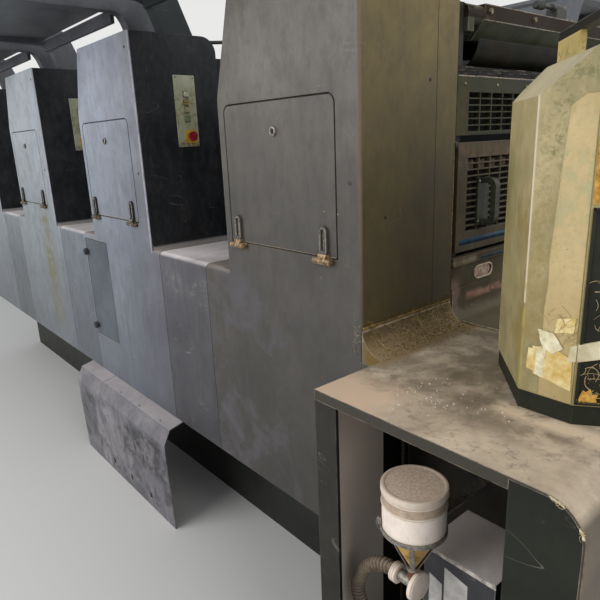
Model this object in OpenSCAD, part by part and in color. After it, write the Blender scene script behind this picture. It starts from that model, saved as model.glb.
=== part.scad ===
// Sheet-fed offset printing press: four printing units in a row with tall side covers,
// drop-down doors, mesh guards and awnings, and the delivery end with its table, powder
// sprayer cabinet and console. The drive side faces -Y and the delivery end faces +X.
// Millimetres, +Z up, origin on the floor under the middle of the press.

/* [Press] */
// Distance from one printing unit to the next
unit_pitch = 1300; // [1240:5:1400]
// Clear width between the drive-side and the operator-side covers
frame_gap = 1180; // [1000:5:1400]
// Depth of the side covers, across the press
cover_depth = 420; // [380:5:480]

/* [Side covers] */
// Width of a tower along the press, below its taper
tower_w = 672; // [650:1:700]
// Width of a tower at its top
tower_top_w = 560; // [520:1:640]
// Height of the towers above the floor
tower_h = 2275; // [2200:5:2400]
// Height at which the far edge of a tower starts to lean in
taper_z = 1932; // [1900:1:1980]
// Height of the ledge in the recess between two towers
ledge_z = 1365; // [1350:1:1400]
// Height of the lower edge of the covers, open below
skirt_z = 555; // [520:5:600]
// How far a cover reaches past its tower, away from the delivery
shoulder_far = 163; // [150:1:180]
// How far a cover reaches past its tower, towards the delivery
shoulder_near = 75; // [60:1:90]
// Fillet between the ledge and the far edge of a tower
ledge_far_r = 55; // [30:1:70]
// Fillet between the ledge and the near edge of a tower
ledge_near_r = 25; // [10:1:40]
// Rolled front edge of the ledge
ledge_roll_r = 25; // [10:1:40]
// Rounding of the upper back corner of a tower
tower_back_r = 70; // [30:1:90]
// Rounding of the upright corners of a tower
tower_edge_r = 12; // [4:1:20]
// Seam between two neighbouring covers
seam_gap = 3; // [2:0.5:5]

/* [Doors] */
// Width of a tower door
door_w = 530; // [480:1:540]
// Height of a tower door
door_h = 450; // [400:1:455]
// From the near edge of the tower to the near edge of its door
door_inset = 96; // [80:1:110]
// Height of the lower edge of the door above the floor
door_z = 1483; // [1475:1:1500]
// Thickness of a door
door_t = 20; // [12:1:25]
// Gap round a door or hatch
leaf_gap = 5; // [5:0.5:8]
// Radius of the upper corners of a door
door_corner_r = 25; // [10:1:50]
// Depth of the space behind a door
door_bay_depth = 280; // [150:5:320]
// Width of the lip that a door or hatch shuts against
leaf_lip = 22; // [15:1:30]
// Clearance between the back of a leaf and its lip
leaf_seat = 0.3; // [0.2:0.1:1]
// Radius of the round cam lock
lock_r = 14; // [8:1:18]

/* [Strap hinges] */
// Width of a strap, and length of its moving barrel
strap_w = 34; // [28:1:44]
// Length of a strap above its pin
strap_len = 104; // [80:1:140]
// Thickness of a strap
strap_t = 10; // [7:0.5:12]
// Width of the groove down a strap
groove_w = 12; // [8:1:16]
// Depth of the groove down a strap
groove_depth = 5; // [3:0.5:6]
// From the edge of the door to the middle of a strap
strap_inset = 48; // [40:1:80]
// Radius of the hinge pin
hinge_pin_r = 5; // [4:0.5:6]
// Radial play of a hinge pin in its barrel
pin_play = 0.08; // [0.05:0.01:0.1]
// Outer radius of a barrel
barrel_r = 10; // [9:0.5:12]
// Thickness of the fixed lug on each side of the barrel
lug_t = 18; // [12:1:22]
// Clearance between a barrel and its lugs
lug_gap = 0.5; // [0.3:0.1:1]
// Distance from the cover's face out to the pin's centre
pin_out = 14; // [13:0.5:18]
// Distance from the door's lower edge down to the pin's centre
pin_down = 12; // [11:0.5:16]

/* [Lower hatches] */
// Width of a lower hatch
hatch_w = 290; // [260:1:300]
// Height of a lower hatch
hatch_h = 550; // [480:5:560]
// From the far end of the cover to the far edge of the hatch
hatch_margin = 22; // [15:1:35]
// Gap between the hatch and the ledge above it
hatch_drop = 32; // [30:1:60]
// Thickness of a hatch
hatch_t = 15; // [12:1:16]
// Depth of the space behind a hatch
hatch_bay_depth = 200; // [100:5:300]
// Radius of the pivot pins of a hatch
pivot_r = 4; // [3:0.5:5]
// Radius of the round turning knobs
knob_r = 17; // [12:1:22]
// How far the knobs stand out
knob_len = 22; // [15:1:30]

/* [Awnings] */
// Height of the level underside of the arms above the towers
awning_rise = 135; // [110:5:220]
// How far an awning reaches past the side covers
awning_reach = 520; // [300:10:700]
// Thickness of an arm along the press
arm_t = 60; // [40:1:80]
// Depth of the level part of an arm
arm_h = 90; // [70:1:110]
// Depth of the longitudinal rail of an awning
awning_rail_h = 55; // [40:1:70]
// From the near edge of the tower to the arm of the awning before it
arm_inset_far = 40; // [30:1:60]
// From the near edge of the tower to the arm of the awning after it
arm_inset_near = 320; // [300:1:360]

/* [Guards] */
// From the top of the towers down to the top of the upper guard
guard_drop = 290; // [270:5:310]
// Height of the swinging guard
swing_h = 348; // [300:1:350]
// Height of the upper mesh guard
upper_guard_h = 176; // [160:1:180]
// Gap between the two guards
guard_gap = 21; // [18:1:30]
// Thickness of a guard frame
guard_t = 20; // [16:1:24]
// Width of a guard's side bars
guard_post_w = 38; // [30:1:45]
// Height of the plain band at the top of a guard
guard_top_h = 48; // [40:1:60]
// Width of a mesh opening
mesh_open_w = 61; // [50:1:80]
// Height of a mesh opening
mesh_open_h = 16; // [12:1:24]
// Thickness of the mesh wires
wire_w = 4; // [3:0.5:6]
// Height of the guard apron on the last unit
apron_h = 362; // [300:1:400]

/* [Delivery table] */
// Length of the table along the press
table_len = 750; // [700:5:850]
// Height of the table above the floor
table_z = 1215; // [1200:5:1250]
// Thickness of the table top
table_t = 28; // [20:1:40]
// How far the table reaches past the side covers
table_reach = 254; // [220:1:300]
// Radius of the rolled end of the table
table_end_r = 75; // [50:1:100]
// Thickness of the sheet that rolls over the end and down to the floor
end_sheet_t = 6; // [4:1:8]
// From the table down to the deck between the two tables
deck_drop = 155; // [120:5:200]
// Radius of the sweep from the last tower down to the table
table_sweep_r = 75; // [40:1:75]
// Width of the cabinet's front post
post_w = 75; // [50:1:100]
// Width of the open front of the cabinet
bay_w = 455; // [400:1:500]
// Wall thickness of the cabinet
wall_t = 10; // [6:1:16]
// Height of the shelf inside the cabinet
shelf_z = 330; // [200:5:400]

/* [Powder sprayer] */
// Radius of the powder pot
pot_r = 77; // [60:1:80]
// Height of the pot's lid above the floor
pot_top_z = 1025; // [1000:1:1050]
// Height of the cylindrical pot below its lid
pot_h = 94; // [80:1:120]
// Height of the pot's lid
lid_h = 17; // [12:1:22]
// Height of the cone under the pot
cone_h = 118; // [90:1:130]
// Width of the sprayer's box
spray_box_w = 205; // [180:1:210]
// Depth of the sprayer's box
spray_box_d = 195; // [150:1:195]
// Height of the sprayer's box
spray_box_h = 466; // [400:1:500]
// Radius of the powder hose
hose_r = 20; // [15:1:24]

/* [Console] */
// Width of the console along the press
console_w = 369; // [350:1:369]
// Depth of the console across the press
console_d = 432; // [400:1:437]
// Chamfer of the console's corners next to the tower, along the press
console_cut_x = 168; // [120:1:180]
// Chamfer of the console's corners next to the tower, across the press
console_cut_y = 197; // [150:1:210]
// Chamfer of the console's corners next to the table's end, along the press
console_end_cut_x = 80; // [50:1:100]
// Chamfer of the console's corners next to the table's end, across the press
console_end_cut_y = 57; // [40:1:80]
// Height of the console above the table
console_h = 745; // [700:5:800]
// Height of the dark plinth under the console
plinth_h = 45; // [30:1:60]
// Height over which the console's sloped facets rise
facet_rise = 78; // [50:1:100]

/* [Foot plate] */
// Length of the two cover plates that stand below the covers
foot_plate_len = 1120; // [1000:5:1200]
// Length of the one with the slots
foot_joint = 776; // [760:1:800]
// Thickness of the bent sheet
foot_sheet_t = 4; // [3:0.5:6]

/* [Hidden] */

$fn = 48;
units = 4;
half_w = cover_depth + frame_gap / 2;
press_len = (units - 1) * unit_pitch + tower_w + shoulder_far + table_len;
near_x = press_len / 2 - table_len;
eps = 0.01;
awning_z = tower_h + awning_rise;
guard_z = tower_h - guard_drop - upper_guard_h;
swing_z = guard_z - guard_gap - swing_h;
apron_top_z = swing_z - 18;
apron_z = apron_top_z - apron_h;
hatch_inset = tower_w + shoulder_far - hatch_margin - hatch_w;

// Place of the near edge of unit k along the press, unit 1 nearest the delivery
function unit_x(k) = near_x - (k - 1) * unit_pitch;

// Colours seen on the machine
cover_grey = "#5d5e5f";
dark_blue = "#2b2f35";
bare_steel = "#8d8f90";
guard_grey = "#4a4d4a";
table_brown = "#8b7d6b";
frame_green = "#30352c";
console_yellow = "#c4b184";
pot_beige = "#c9b8a6";

// Local frame of a unit: x = 0 at the near edge of its tower, y = 0 on the face of its side
// covers and growing into the press, z from the floor.
module on_drive_side(k) translate([unit_x(k), -half_w, 0]) children();
module on_far_side(k) mirror([0, 1, 0]) on_drive_side(k) children();

// Turns an outline drawn as (x, z) into a solid from y = y0 to y = y0 + depth
module across(y0, depth) translate([0, y0 + depth, 0]) rotate([90, 0, 0]) linear_extrude(depth) children();
// Turns an outline drawn as (y, z) into a solid from x = x0 to x = x0 + len
module along(x0, len) translate([x0, 0, 0]) rotate([90, 0, 90]) linear_extrude(len) children();

// Rectangle with both upper corners rounded, lower left corner at the origin
module arched_rect(w, h, r) {
    square([w, h - r]);
    translate([r, 0]) square([w - 2 * r, h]);
    for (x = [r, w - r]) translate([x, h - r]) circle(r);
}

// Rectangle with all corners rounded
module round_rect(w, h, r) {
    translate([r, 0]) square([w - 2 * r, h]);
    translate([0, r]) square([w, h - 2 * r]);
    for (x = [r, w - r], y = [r, h - r]) translate([x, y]) circle(r);
}

// Concave fillet that fills the corner between +x and +y
module corner_fill(r) difference() { square(r); translate([r, r]) circle(r); }

// Side outline of a tower, its far edge leaning in above the doors
module tower_side() polygon([
    [-tower_w, skirt_z], [0, skirt_z], [0, tower_h], [-tower_top_w, tower_h], [-tower_w, taper_z]
]);

// Plan of a tower with its upright corners rounded
module tower_plan() {
    translate([-tower_w, 0]) round_rect(tower_w, cover_depth + tower_edge_r, tower_edge_r);
}

// Depth profile of a tower, rounded at the upper back corner
module tower_depth_profile() {
    square([cover_depth, tower_h - tower_back_r]);
    square([cover_depth - tower_back_r, tower_h]);
    translate([cover_depth - tower_back_r, tower_h - tower_back_r]) circle(tower_back_r);
}

// Depth profile of a low cover, with the ledge's rolled front edge
module ledge_profile(top) {
    translate([0, skirt_z]) square([cover_depth, top - skirt_z - ledge_roll_r]);
    translate([ledge_roll_r, skirt_z]) square([cover_depth - ledge_roll_r, top - skirt_z]);
    translate([ledge_roll_r, top - ledge_roll_r]) circle(ledge_roll_r);
}

// Side cover of one unit: low cover with its shoulders, and the tower that rises from it
module cover_body(near_shoulder, near_top) {
    along(-tower_w - shoulder_far, shoulder_far + tower_w / 2 + 1) ledge_profile(ledge_z);
    if (near_top == ledge_z) along(-tower_w / 2, tower_w / 2 + near_shoulder) ledge_profile(ledge_z);
    else along(-tower_w / 2, tower_w / 2 + near_shoulder)
        translate([0, skirt_z]) square([cover_depth, near_top - skirt_z]);
    intersection() {
        across(0, cover_depth) tower_side();
        along(-tower_w, tower_w) tower_depth_profile();
        translate([0, 0, min(near_top, ledge_z) - ledge_roll_r]) linear_extrude(tower_h) tower_plan();
    }
    across(tower_edge_r, cover_depth - tower_edge_r) {
        translate([-tower_w, ledge_z]) mirror([1, 0]) corner_fill(ledge_far_r);
        if (near_top == ledge_z) translate([0, ledge_z]) corner_fill(ledge_near_r);
    }
}

// Pocket that a door shuts into
module door_pocket(depth) translate([-door_inset - door_w, 0, door_z])
    across(-eps, depth + eps) translate([-leaf_gap, -leaf_gap])
        arched_rect(door_w + 2 * leaf_gap, door_h + 2 * leaf_gap, door_corner_r + leaf_gap);

// Space behind a door: its pocket, and the bay behind the lip
module door_bay() {
    door_pocket(door_t + leaf_seat);
    translate([-door_inset - door_w + leaf_lip, 0, door_z + leaf_lip])
        cube([door_w - 2 * leaf_lip, door_bay_depth, door_h - 2 * leaf_lip]);
}

hinge_x = [-door_inset - door_w + strap_inset, -door_inset - strap_inset];
hinge_z = door_z - pin_down;
lock_drop = 88;

// Fixed half of the strap hinges: two lugs and the pin between them
module door_hinge_lugs() {
    lug_span = strap_w + 2 * lug_gap;
    for (x = hinge_x) translate([x, -pin_out, hinge_z]) {
        for (side = [-1, 1]) along(side * (lug_span + lug_t) / 2 - lug_t / 2, lug_t) {
            circle(barrel_r);
            translate([0, -barrel_r]) square([pin_out, 2 * barrel_r]);
        }
        rotate([0, 90, 0]) cylinder(h = lug_span + 2 * lug_t, r = hinge_pin_r, center = true);
    }
}

// Door leaf with its strap hinges and cam lock
module door_leaf() {
    translate([-door_inset - door_w, 0, door_z])
        across(0, door_t) arched_rect(door_w, door_h, door_corner_r);
    for (x = hinge_x) difference() {
        union() {
            translate([x - strap_w / 2, 0, door_z]) across(-strap_t, strap_t) difference() {
                arched_rect(strap_w, strap_len - pin_down, strap_w / 2 - 1);
                translate([(strap_w - groove_w) / 2, strap_w / 2])
                    arched_rect(groove_w, strap_len - pin_down - strap_w / 2 - groove_w, groove_w / 2 - 1);
            }
            translate([x - groove_w / 2 - 1, 0, door_z]) across(groove_depth - strap_t, strap_t - groove_depth)
                square([groove_w + 2, strap_len - pin_down - groove_w + 1]);
            along(x - strap_w / 2, strap_w) {
                translate([-pin_out, hinge_z]) circle(barrel_r);
                polygon([
                    [-pin_out - barrel_r, hinge_z], [-strap_t, door_z + 2 * barrel_r],
                    [0, door_z + 2 * barrel_r], [0, door_z], [-pin_out + barrel_r, hinge_z]
                ]);
            }
        }
        translate([x, -pin_out, hinge_z]) rotate([0, 90, 0])
            cylinder(h = strap_w + 2, r = hinge_pin_r + pin_play, center = true);
    }
    translate([-door_inset - door_w / 2, 0, door_z + door_h - lock_drop]) rotate([90, 0, 0])
        cylinder(h = 6, r = lock_r);
}

hatch_z = ledge_z - hatch_drop - hatch_h;
pivot_in = 8;
knob_in = 18;
knob_heights = [hatch_z + 50, hatch_z + hatch_h - 70];

// Space behind a lower hatch, with the two pivot pins that carry it
module hatch_bay() {
    translate([-hatch_inset - hatch_w, -eps, hatch_z]) {
        translate([-leaf_gap, 0, -leaf_gap])
            cube([hatch_w + 2 * leaf_gap, hatch_t + leaf_seat, hatch_h + 2 * leaf_gap]);
        translate([hatch_w - 2 * pivot_in, 0, -leaf_gap])
            cube([2 * pivot_in + leaf_gap, hatch_t + leaf_gap, hatch_h + 2 * leaf_gap]);
        translate([leaf_lip, 0, leaf_lip])
            cube([hatch_w - 2 * leaf_lip, hatch_bay_depth, hatch_h - 2 * leaf_lip]);
    }
}
pivot_len = leaf_gap + 12;
module hatch_pins() {
    for (z = [hatch_z - leaf_gap, hatch_z + hatch_h + leaf_gap - pivot_len])
        translate([-hatch_inset - pivot_in, pivot_in, z]) cylinder(h = pivot_len, r = pivot_r);
}

// Lower hatch with two turning knobs along its free edge
module hatch_leaf() {
    difference() {
        translate([-hatch_inset - hatch_w, 0, hatch_z]) cube([hatch_w, hatch_t, hatch_h]);
        for (z = [hatch_z - 1, hatch_z + hatch_h - 13])
            translate([-hatch_inset - pivot_in, pivot_in, z]) cylinder(h = 14, r = pivot_r + pin_play);
    }
    for (z = knob_heights)
        translate([-hatch_inset - hatch_w + knob_in, 0, z]) rotate([90, 0, 0])
            cylinder(h = knob_len, r = knob_r);
}

// Cover of unit k: the one next to the delivery ends under the table
module unit_cover(k) {
    if (k == 1) cover_body(shoulder_near, table_z - table_t);
    else cover_body(shoulder_near - seam_gap / 2, ledge_z);
}
module tower(k, door_opens = true) color(cover_grey) on_drive_side(k) {
    difference() {
        unit_cover(k);
        if (door_opens) door_bay();
        else door_pocket(door_t);
        if (k % 2 == 0) hatch_bay();
    }
    door_hinge_lugs();
    if (k % 2 == 0) hatch_pins();
}
module door(k) color(cover_grey) on_drive_side(k) door_leaf();
module hatch(k) color(cover_grey) on_drive_side(k) hatch_leaf();

// Low cover with its ledge that closes the recess between units k and k + 1
module recess_cover() {
    along(-unit_pitch + shoulder_near + seam_gap / 2,
        unit_pitch - shoulder_near - tower_w - shoulder_far - 1.5 * seam_gap) ledge_profile(ledge_z);
}
module recess_covers() color(cover_grey) for (k = [1 : units - 1]) on_drive_side(k) recess_cover();

// Control plate in the recess, on the near face of a tower, with its row of buttons
plate_y = 190;
plate_z = tower_h - 470;
plate_w = 104;
plate_h = 304;
plate_t = 5;
button_r = 11;
button_len = 8;
button_heights = [120, 158, 190, 225];
stop_y = 62;
stop_z = 45;
module on_control_plate(y, z) translate([plate_t, plate_y + y, plate_z + z]) rotate([0, 90, 0]) children();
module control_plates() color("#9aa08c") for (k = [2 : units]) on_drive_side(k) {
    translate([0, plate_y, plate_z]) cube([plate_t, plate_w, plate_h]);
    for (z = button_heights) on_control_plate(plate_w / 2, z) cylinder(h = button_len, r = button_r);
}
module stop_buttons() color("#b0281f") for (k = [2 : units]) on_drive_side(k) on_control_plate(stop_y, stop_z) {
    cylinder(h = 16, r = 12);
    translate([0, 0, 16]) cylinder(h = 12, r = 21);
}

// Outline of an awning arm as (y, z): leaning foot on the tower top, level part to the tip
arm_foot = [190, 335];
arm_knee = [146, 262];
arm_tip_h = 60;
module arm_outline() {
    polygon([
        [arm_foot[0], tower_h], [arm_foot[1], tower_h], [arm_knee[1], awning_z + arm_h - 55],
        [arm_knee[1] - 28, awning_z + arm_h - 14], [arm_knee[1] - 70, awning_z + arm_h],
        [-awning_reach, awning_z + arm_tip_h], [-awning_reach, awning_z],
        [arm_knee[0] - 45, awning_z], [arm_knee[0] - 12, awning_z - 12], [arm_knee[0] + 6, awning_z - 40]
    ]);
}
awning_len = unit_pitch - arm_inset_near + arm_inset_far + arm_t;

// Awning over the recess between units k and k + 1: two arms, rails and the roof sheet
module awning() {
    translate([-arm_inset_near, 0, 0]) {
        along(-arm_t, arm_t) arm_outline();
        along(-awning_len, arm_t) arm_outline();
        along(-awning_len + arm_t, awning_len - 2 * arm_t) {
            translate([arm_knee[0] - 40, awning_z - awning_rail_h + 15]) square([20, awning_rail_h]);
            translate([-awning_reach, awning_z]) square([30, arm_tip_h]);
            translate([-awning_reach + 30, awning_z + 30]) square([awning_reach + arm_knee[0] - 60, 18]);
        }
    }
}
module awning_drive(k) color("#55504a") on_drive_side(k) awning();
module far_awnings() color("#55504a") for (k = [1 : units - 1]) on_far_side(k) awning();

// Operator side, the plain repeat of the drive side
module far_towers() color(cover_grey) for (k = [1 : units]) on_far_side(k) {
    difference() {
        unit_cover(k);
        door_pocket(door_t);
    }
    if (k < units) recess_cover();
}
module fixed_doors() color(cover_grey) {
    on_drive_side(units) door_leaf();
    for (k = [1 : units]) on_far_side(k) translate([-door_inset - door_w, 0, door_z])
        across(0, door_t) arched_rect(door_w, door_h, door_corner_r);
}

// Cast side frames that carry the cylinders, standing on the floor, with the bearing lugs of
// the swinging guard on those of the last unit
frame_t = 60;
frame_front = 25;
frame_back = 34;
frame_top_z = tower_h - 85;
swing_y = frame_gap / 2 - 20;
swing_pin_r = 8;
swing_pin_z = swing_z + swing_h - 8;
lug_w = frame_gap / 2 - swing_y - 5;
module side_frame() polygon([
    [-tower_w + frame_back, 0], [-frame_front, 0], [-frame_front, frame_top_z],
    [-tower_top_w, frame_top_z], [-tower_w + frame_back, taper_z]
]);
module swing_lug() difference() {
    across(frame_gap / 2 - lug_w, lug_w) {
        translate([-guard_t / 2, swing_pin_z]) circle(swing_pin_r + 6);
        translate([-frame_front - 1, swing_pin_z - swing_pin_r - 6])
            square([frame_front + 1 - guard_t / 2, 2 * swing_pin_r + 12]);
    }
    translate([-guard_t / 2, frame_gap / 2 + 1, swing_pin_z]) rotate([90, 0, 0])
        cylinder(h = lug_w + 2, r = swing_pin_r + pin_play);
}
module side_frames() color(frame_green) for (k = [1 : units], side = [0, 1])
    translate([unit_x(k), 0, 0]) mirror([0, side, 0]) {
        across(frame_gap / 2 - frame_t, frame_t) side_frame();
        if (k == 1) swing_lug();
    }

// Closed core between the frames, hollowed below the top beam where a cylinder shows
core_w = frame_gap - 2 * frame_t;
core_front = 80;
core_back = 60;
core_floor_z = 300;
core_top_z = frame_top_z - 55;
cavity_floor_z = guard_z + upper_guard_h + 5;
cavity_back = 250;
cavity_lip = 140;
cavity_lip_h = 25;
cavity_slope_h = 40;
module between_frames() rotate([90, 0, 0]) linear_extrude(core_w, center = true) children();
module unit_cores() color("#25272a") for (k = [1 : units]) translate([unit_x(k), 0, 0])
    between_frames() polygon([
        [-tower_w + core_back, core_floor_z], [-core_front, core_floor_z], [-core_front, cavity_floor_z],
        [-cavity_back, cavity_floor_z], [-cavity_back, core_top_z - cavity_lip_h - cavity_slope_h],
        [-cavity_lip, core_top_z - cavity_lip_h], [-cavity_lip, core_top_z],
        [-tower_top_w, core_top_z], [-tower_w + core_back, taper_z]
    ]);
cylinder_r = 34;
cylinder_in = 165;
ink_roller_r = 30;
ink_roller_in = 200;
ink_roller_pitch = 95;
module rollers() color("#3a3a38") for (k = [1 : units]) translate([unit_x(k), 0, 0]) {
    translate([-cylinder_in, 0, cavity_floor_z + cylinder_r]) between_frames() circle(cylinder_r);
    for (i = [0 : 3]) translate([-ink_roller_in - i * ink_roller_pitch, 0, core_top_z + ink_roller_r])
        between_frames() circle(ink_roller_r);
}
deck_t = 30;
deck_rise = 100;
module walk_decks() for (k = [1 : units - 1])
    translate([unit_x(k + 1) - frame_front, -frame_gap / 2, apron_z + deck_rise])
        cube([unit_pitch - tower_w + frame_front + frame_back, frame_gap, deck_t]);

// Guards on the near face of a unit, between the side covers. Every opening of the welded
// mesh is cut, and what is left over in the width and height goes to the bars.
guard_y = frame_gap / 2 - 10;
bottom_bar_h = 12;
swing_bottom_h = 50;
module mesh_panel(w, h, bottom_min) {
    cols = floor((w - 2 * guard_post_w + wire_w) / (mesh_open_w + wire_w));
    rows = floor((h - guard_top_h - bottom_min + wire_w) / (mesh_open_h + wire_w));
    post = (w - cols * (mesh_open_w + wire_w) + wire_w) / 2;
    top = h - guard_top_h - mesh_open_h;
    along(-guard_t, guard_t) difference() {
        translate([-w / 2, 0]) square([w, h]);
        for (i = [0 : cols - 1], j = [0 : rows - 1])
            translate([-w / 2 + post + i * (mesh_open_w + wire_w), top - j * (mesh_open_h + wire_w)])
                square([mesh_open_w, mesh_open_h]);
    }
}
fixed_x = -frame_front + guard_t;
module mesh_guards() color(guard_grey) for (k = [1 : units]) translate([unit_x(k) + fixed_x, 0, 0]) {
    translate([0, 0, guard_z]) mesh_panel(2 * guard_y, upper_guard_h, bottom_bar_h);
    if (k > 1) translate([0, 0, swing_z]) mesh_panel(2 * guard_y, swing_h, swing_bottom_h);
}
module swing_guard() color("#3c4048") translate([unit_x(1), 0, swing_z])
    mesh_panel(2 * swing_y, swing_h, swing_bottom_h);
module guard_pins() color(bare_steel) for (side = [0, 1])
    translate([unit_x(1) - guard_t / 2, 0, swing_pin_z]) mirror([0, side, 0])
        translate([0, frame_gap / 2 - 1, 0]) rotate([90, 0, 0])
            cylinder(h = frame_gap / 2 - 1 - swing_y, r = swing_pin_r);

// Bow handle of the swinging guard: a plate on the mesh and a bow that stands off it
handle_y = -462;
handle_z = swing_z + 80;
handle_len = 155;
handle_plate_w = 58;
handle_plate_t = 6;
handle_w = 26;
handle_out = 60;
handle_grip = 18;
module guard_handle() color("#3c4048") translate([unit_x(1), handle_y, handle_z]) {
    cube([handle_plate_t, handle_plate_w, handle_len]);
    across((handle_plate_w - handle_w) / 2, handle_w) difference() {
        bow_outline(handle_out, handle_len, 30);
        translate([0, handle_grip]) bow_outline(handle_out - handle_grip, handle_len - 2 * handle_grip, 14);
    }
}
module bow_outline(reach, h, r) {
    square([reach - r, h]);
    translate([0, r]) square([reach, h - 2 * r]);
    for (z = [r, h - r]) translate([reach - r, z]) circle(r);
}

// Aprons below the guards: sheets with a folded top edge and a hand hole near each end
fold_h = 29;
fold_out = 8;
hand_hole_z = apron_top_z - 69;
hand_hole_y = 392;
hand_hole_len = 108;
hand_hole_h = 44;
module guard_apron(z0) difference() {
    union() {
        translate([-guard_t, -guard_y, z0]) cube([guard_t, 2 * guard_y, apron_top_z - z0]);
        translate([0, -guard_y, apron_top_z - fold_h]) cube([fold_out, 2 * guard_y, fold_h]);
    }
    for (side = [-1, 1]) along(-guard_t - 1, guard_t + 2)
        translate([side * hand_hole_y, hand_hole_z]) {
            square([hand_hole_len - hand_hole_h, hand_hole_h], center = true);
            for (end = [-1, 1]) translate([end * (hand_hole_len - hand_hole_h) / 2, 0]) circle(hand_hole_h / 2);
        }
}
module guard_aprons() color(guard_grey) for (k = [1 : units]) translate([unit_x(k) + fixed_x, 0, 0])
    guard_apron(k == 1 ? apron_z : apron_z + deck_rise + deck_t);

// Beam over the guards with a shaft end and its block at each side, the plate that leans
// in below it, and the dark wiper strip on the upper guard
beam_z = tower_h - 129;
beam_h = 46;
beam_w = 52;
beam_in = 8;
beam_end = 446;
lean_end = 450;
lean_h = 51;
lean_in = 42;
lean_t = 18;
shaft_end_r = 30;
block_w = 56;
block_t = 30;
block_h = 70;
module guard_beams() color(guard_grey) for (k = [1 : units]) translate([unit_x(k) - beam_in, 0, beam_z]) {
    translate([-beam_w, -beam_end, 0]) cube([beam_w, 2 * beam_end, beam_h]);
    across(-lean_end, 2 * lean_end) polygon([
        [-lean_t, 1], [0, 1], [-lean_in, -lean_h], [-lean_in - lean_t, -lean_h]
    ]);
    for (side = [0, 1]) mirror([0, side, 0]) {
        across(beam_end - 1, core_w / 2 - beam_end + 1) translate([-shaft_end_r, shaft_end_r / 2])
            circle(shaft_end_r);
        translate([-block_w - 2, core_w / 2 - block_t, -block_h / 2]) cube([block_w, block_t, block_h]);
    }
}
module wiper_strips() color("#3b332b") for (k = [1 : units]) translate([unit_x(k) - frame_front, 0, 0])
    translate([0, -guard_y, guard_z + upper_guard_h]) cube([17, 2 * guard_y, 26]);

// Knob lever with its clamp on the beam of the last unit, and the crank behind the tower of unit 2
lever_y = 15;
clamp_w = 40;
clamp_len = 72;
clamp_h = 34;
clamp_bolt_r = 12;
lever_rise = 38;
lever_rod_r = 6;
lever_rod_len = 64;
lever_knob_r = 13;
lever_knob_len = 52;
module clamp_lever() translate([unit_x(1) - 34, lever_y, beam_z + beam_h]) {
    translate([-clamp_w / 2, 0, 0]) cube([clamp_w, clamp_len, clamp_h]);
    translate([0, clamp_len + clamp_bolt_r / 2, 0]) cylinder(h = clamp_h + 4, r = clamp_bolt_r);
    translate([0, clamp_len - 4, lever_rise]) rotate([90, 0, 0]) cylinder(h = clamp_len, r = lever_rod_r + 8);
    translate([0, 1, lever_rise]) rotate([90, 0, 0]) cylinder(h = lever_rod_len, r = lever_rod_r);
    translate([0, 1 - lever_rod_len, lever_rise]) rotate([90, 0, 0]) rotate_extrude() {
        square([lever_knob_r - 4, lever_knob_len]);
        translate([0, 4]) square([lever_knob_r, lever_knob_len - 8]);
        for (z = [4, lever_knob_len - 4]) translate([lever_knob_r - 4, z]) circle(4);
    }
}
crank_r = 12;
crank_arm = 80;
module crank_handle() translate([unit_x(2) - 100, -frame_gap / 2 + 20, frame_top_z]) {
    cylinder(h = tower_h - frame_top_z, r = crank_r);
    translate([0, 0, tower_h - frame_top_z - crank_r / 2]) rotate([-90, 0, -30]) cylinder(h = crank_arm, r = 8);
}

module levers() color("#2a2b2b") {
    clamp_lever();
    crank_handle();
}

// Rails of the bed, along the outer faces of the side frames
bed_w = 120;
bed_h = 260;
module bed_rails() color(frame_green) for (side = [-1, 1])
    translate([-press_len / 2 + 100, side * (frame_gap / 2 + bed_w / 2) - bed_w / 2, 0])
        cube([press_len - table_len - 140, bed_w, bed_h]);

// Table top of each side: slab rolled over at the end, swept up at the last tower
table_inner = frame_gap / 2 - 25;
table_y = half_w + table_reach;
slab_end = shoulder_near + 1 + post_w + bay_w;
sweep_seam = 0.5;
module table_profile() {
    translate([0, table_z - table_t]) square([slab_end, table_t]);
    translate([0, table_z - end_sheet_t]) square([table_len - table_end_r, end_sheet_t]);
    translate([table_len - table_end_r, table_z - table_end_r]) intersection() {
        difference() {
            circle(table_end_r);
            circle(table_end_r - end_sheet_t);
        }
        square(table_end_r);
    }
    translate([table_len - end_sheet_t, 0]) square([end_sheet_t, table_z - table_end_r]);
}
module table_tops() color(table_brown) for (side = [0, 1])
    translate([near_x, 0, 0]) mirror([0, side, 0]) {
        across(-table_y, table_y - table_inner) intersection() {
            table_profile();
            translate([shoulder_near + 1, 0]) square([table_len, table_z]);
        }
        across(-half_w, half_w - table_inner) translate([sweep_seam, table_z - table_t])
            square([shoulder_near + 1, table_t]);
        across(-half_w, cover_depth) translate([sweep_seam, table_z]) corner_fill(table_sweep_r);
    }

// Cabinets under the tables, cut back below the rolled end, and the plain deck between them
cab_x = near_x + shoulder_near + 1;
cab_d = table_reach + 120;
cab_h = table_z - table_t;
riser_r = 6;
collar_r = 26;
collar_h = 15;
end_x = near_x + table_len;
module end_outline(x0, h) difference() {
    translate([x0, 0]) square([end_x - end_sheet_t - x0, h]);
    if (h > table_z - table_end_r) translate([end_x - table_end_r, table_z - table_end_r]) difference() {
        square(2 * table_end_r);
        circle(table_end_r - end_sheet_t);
    }
}
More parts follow.
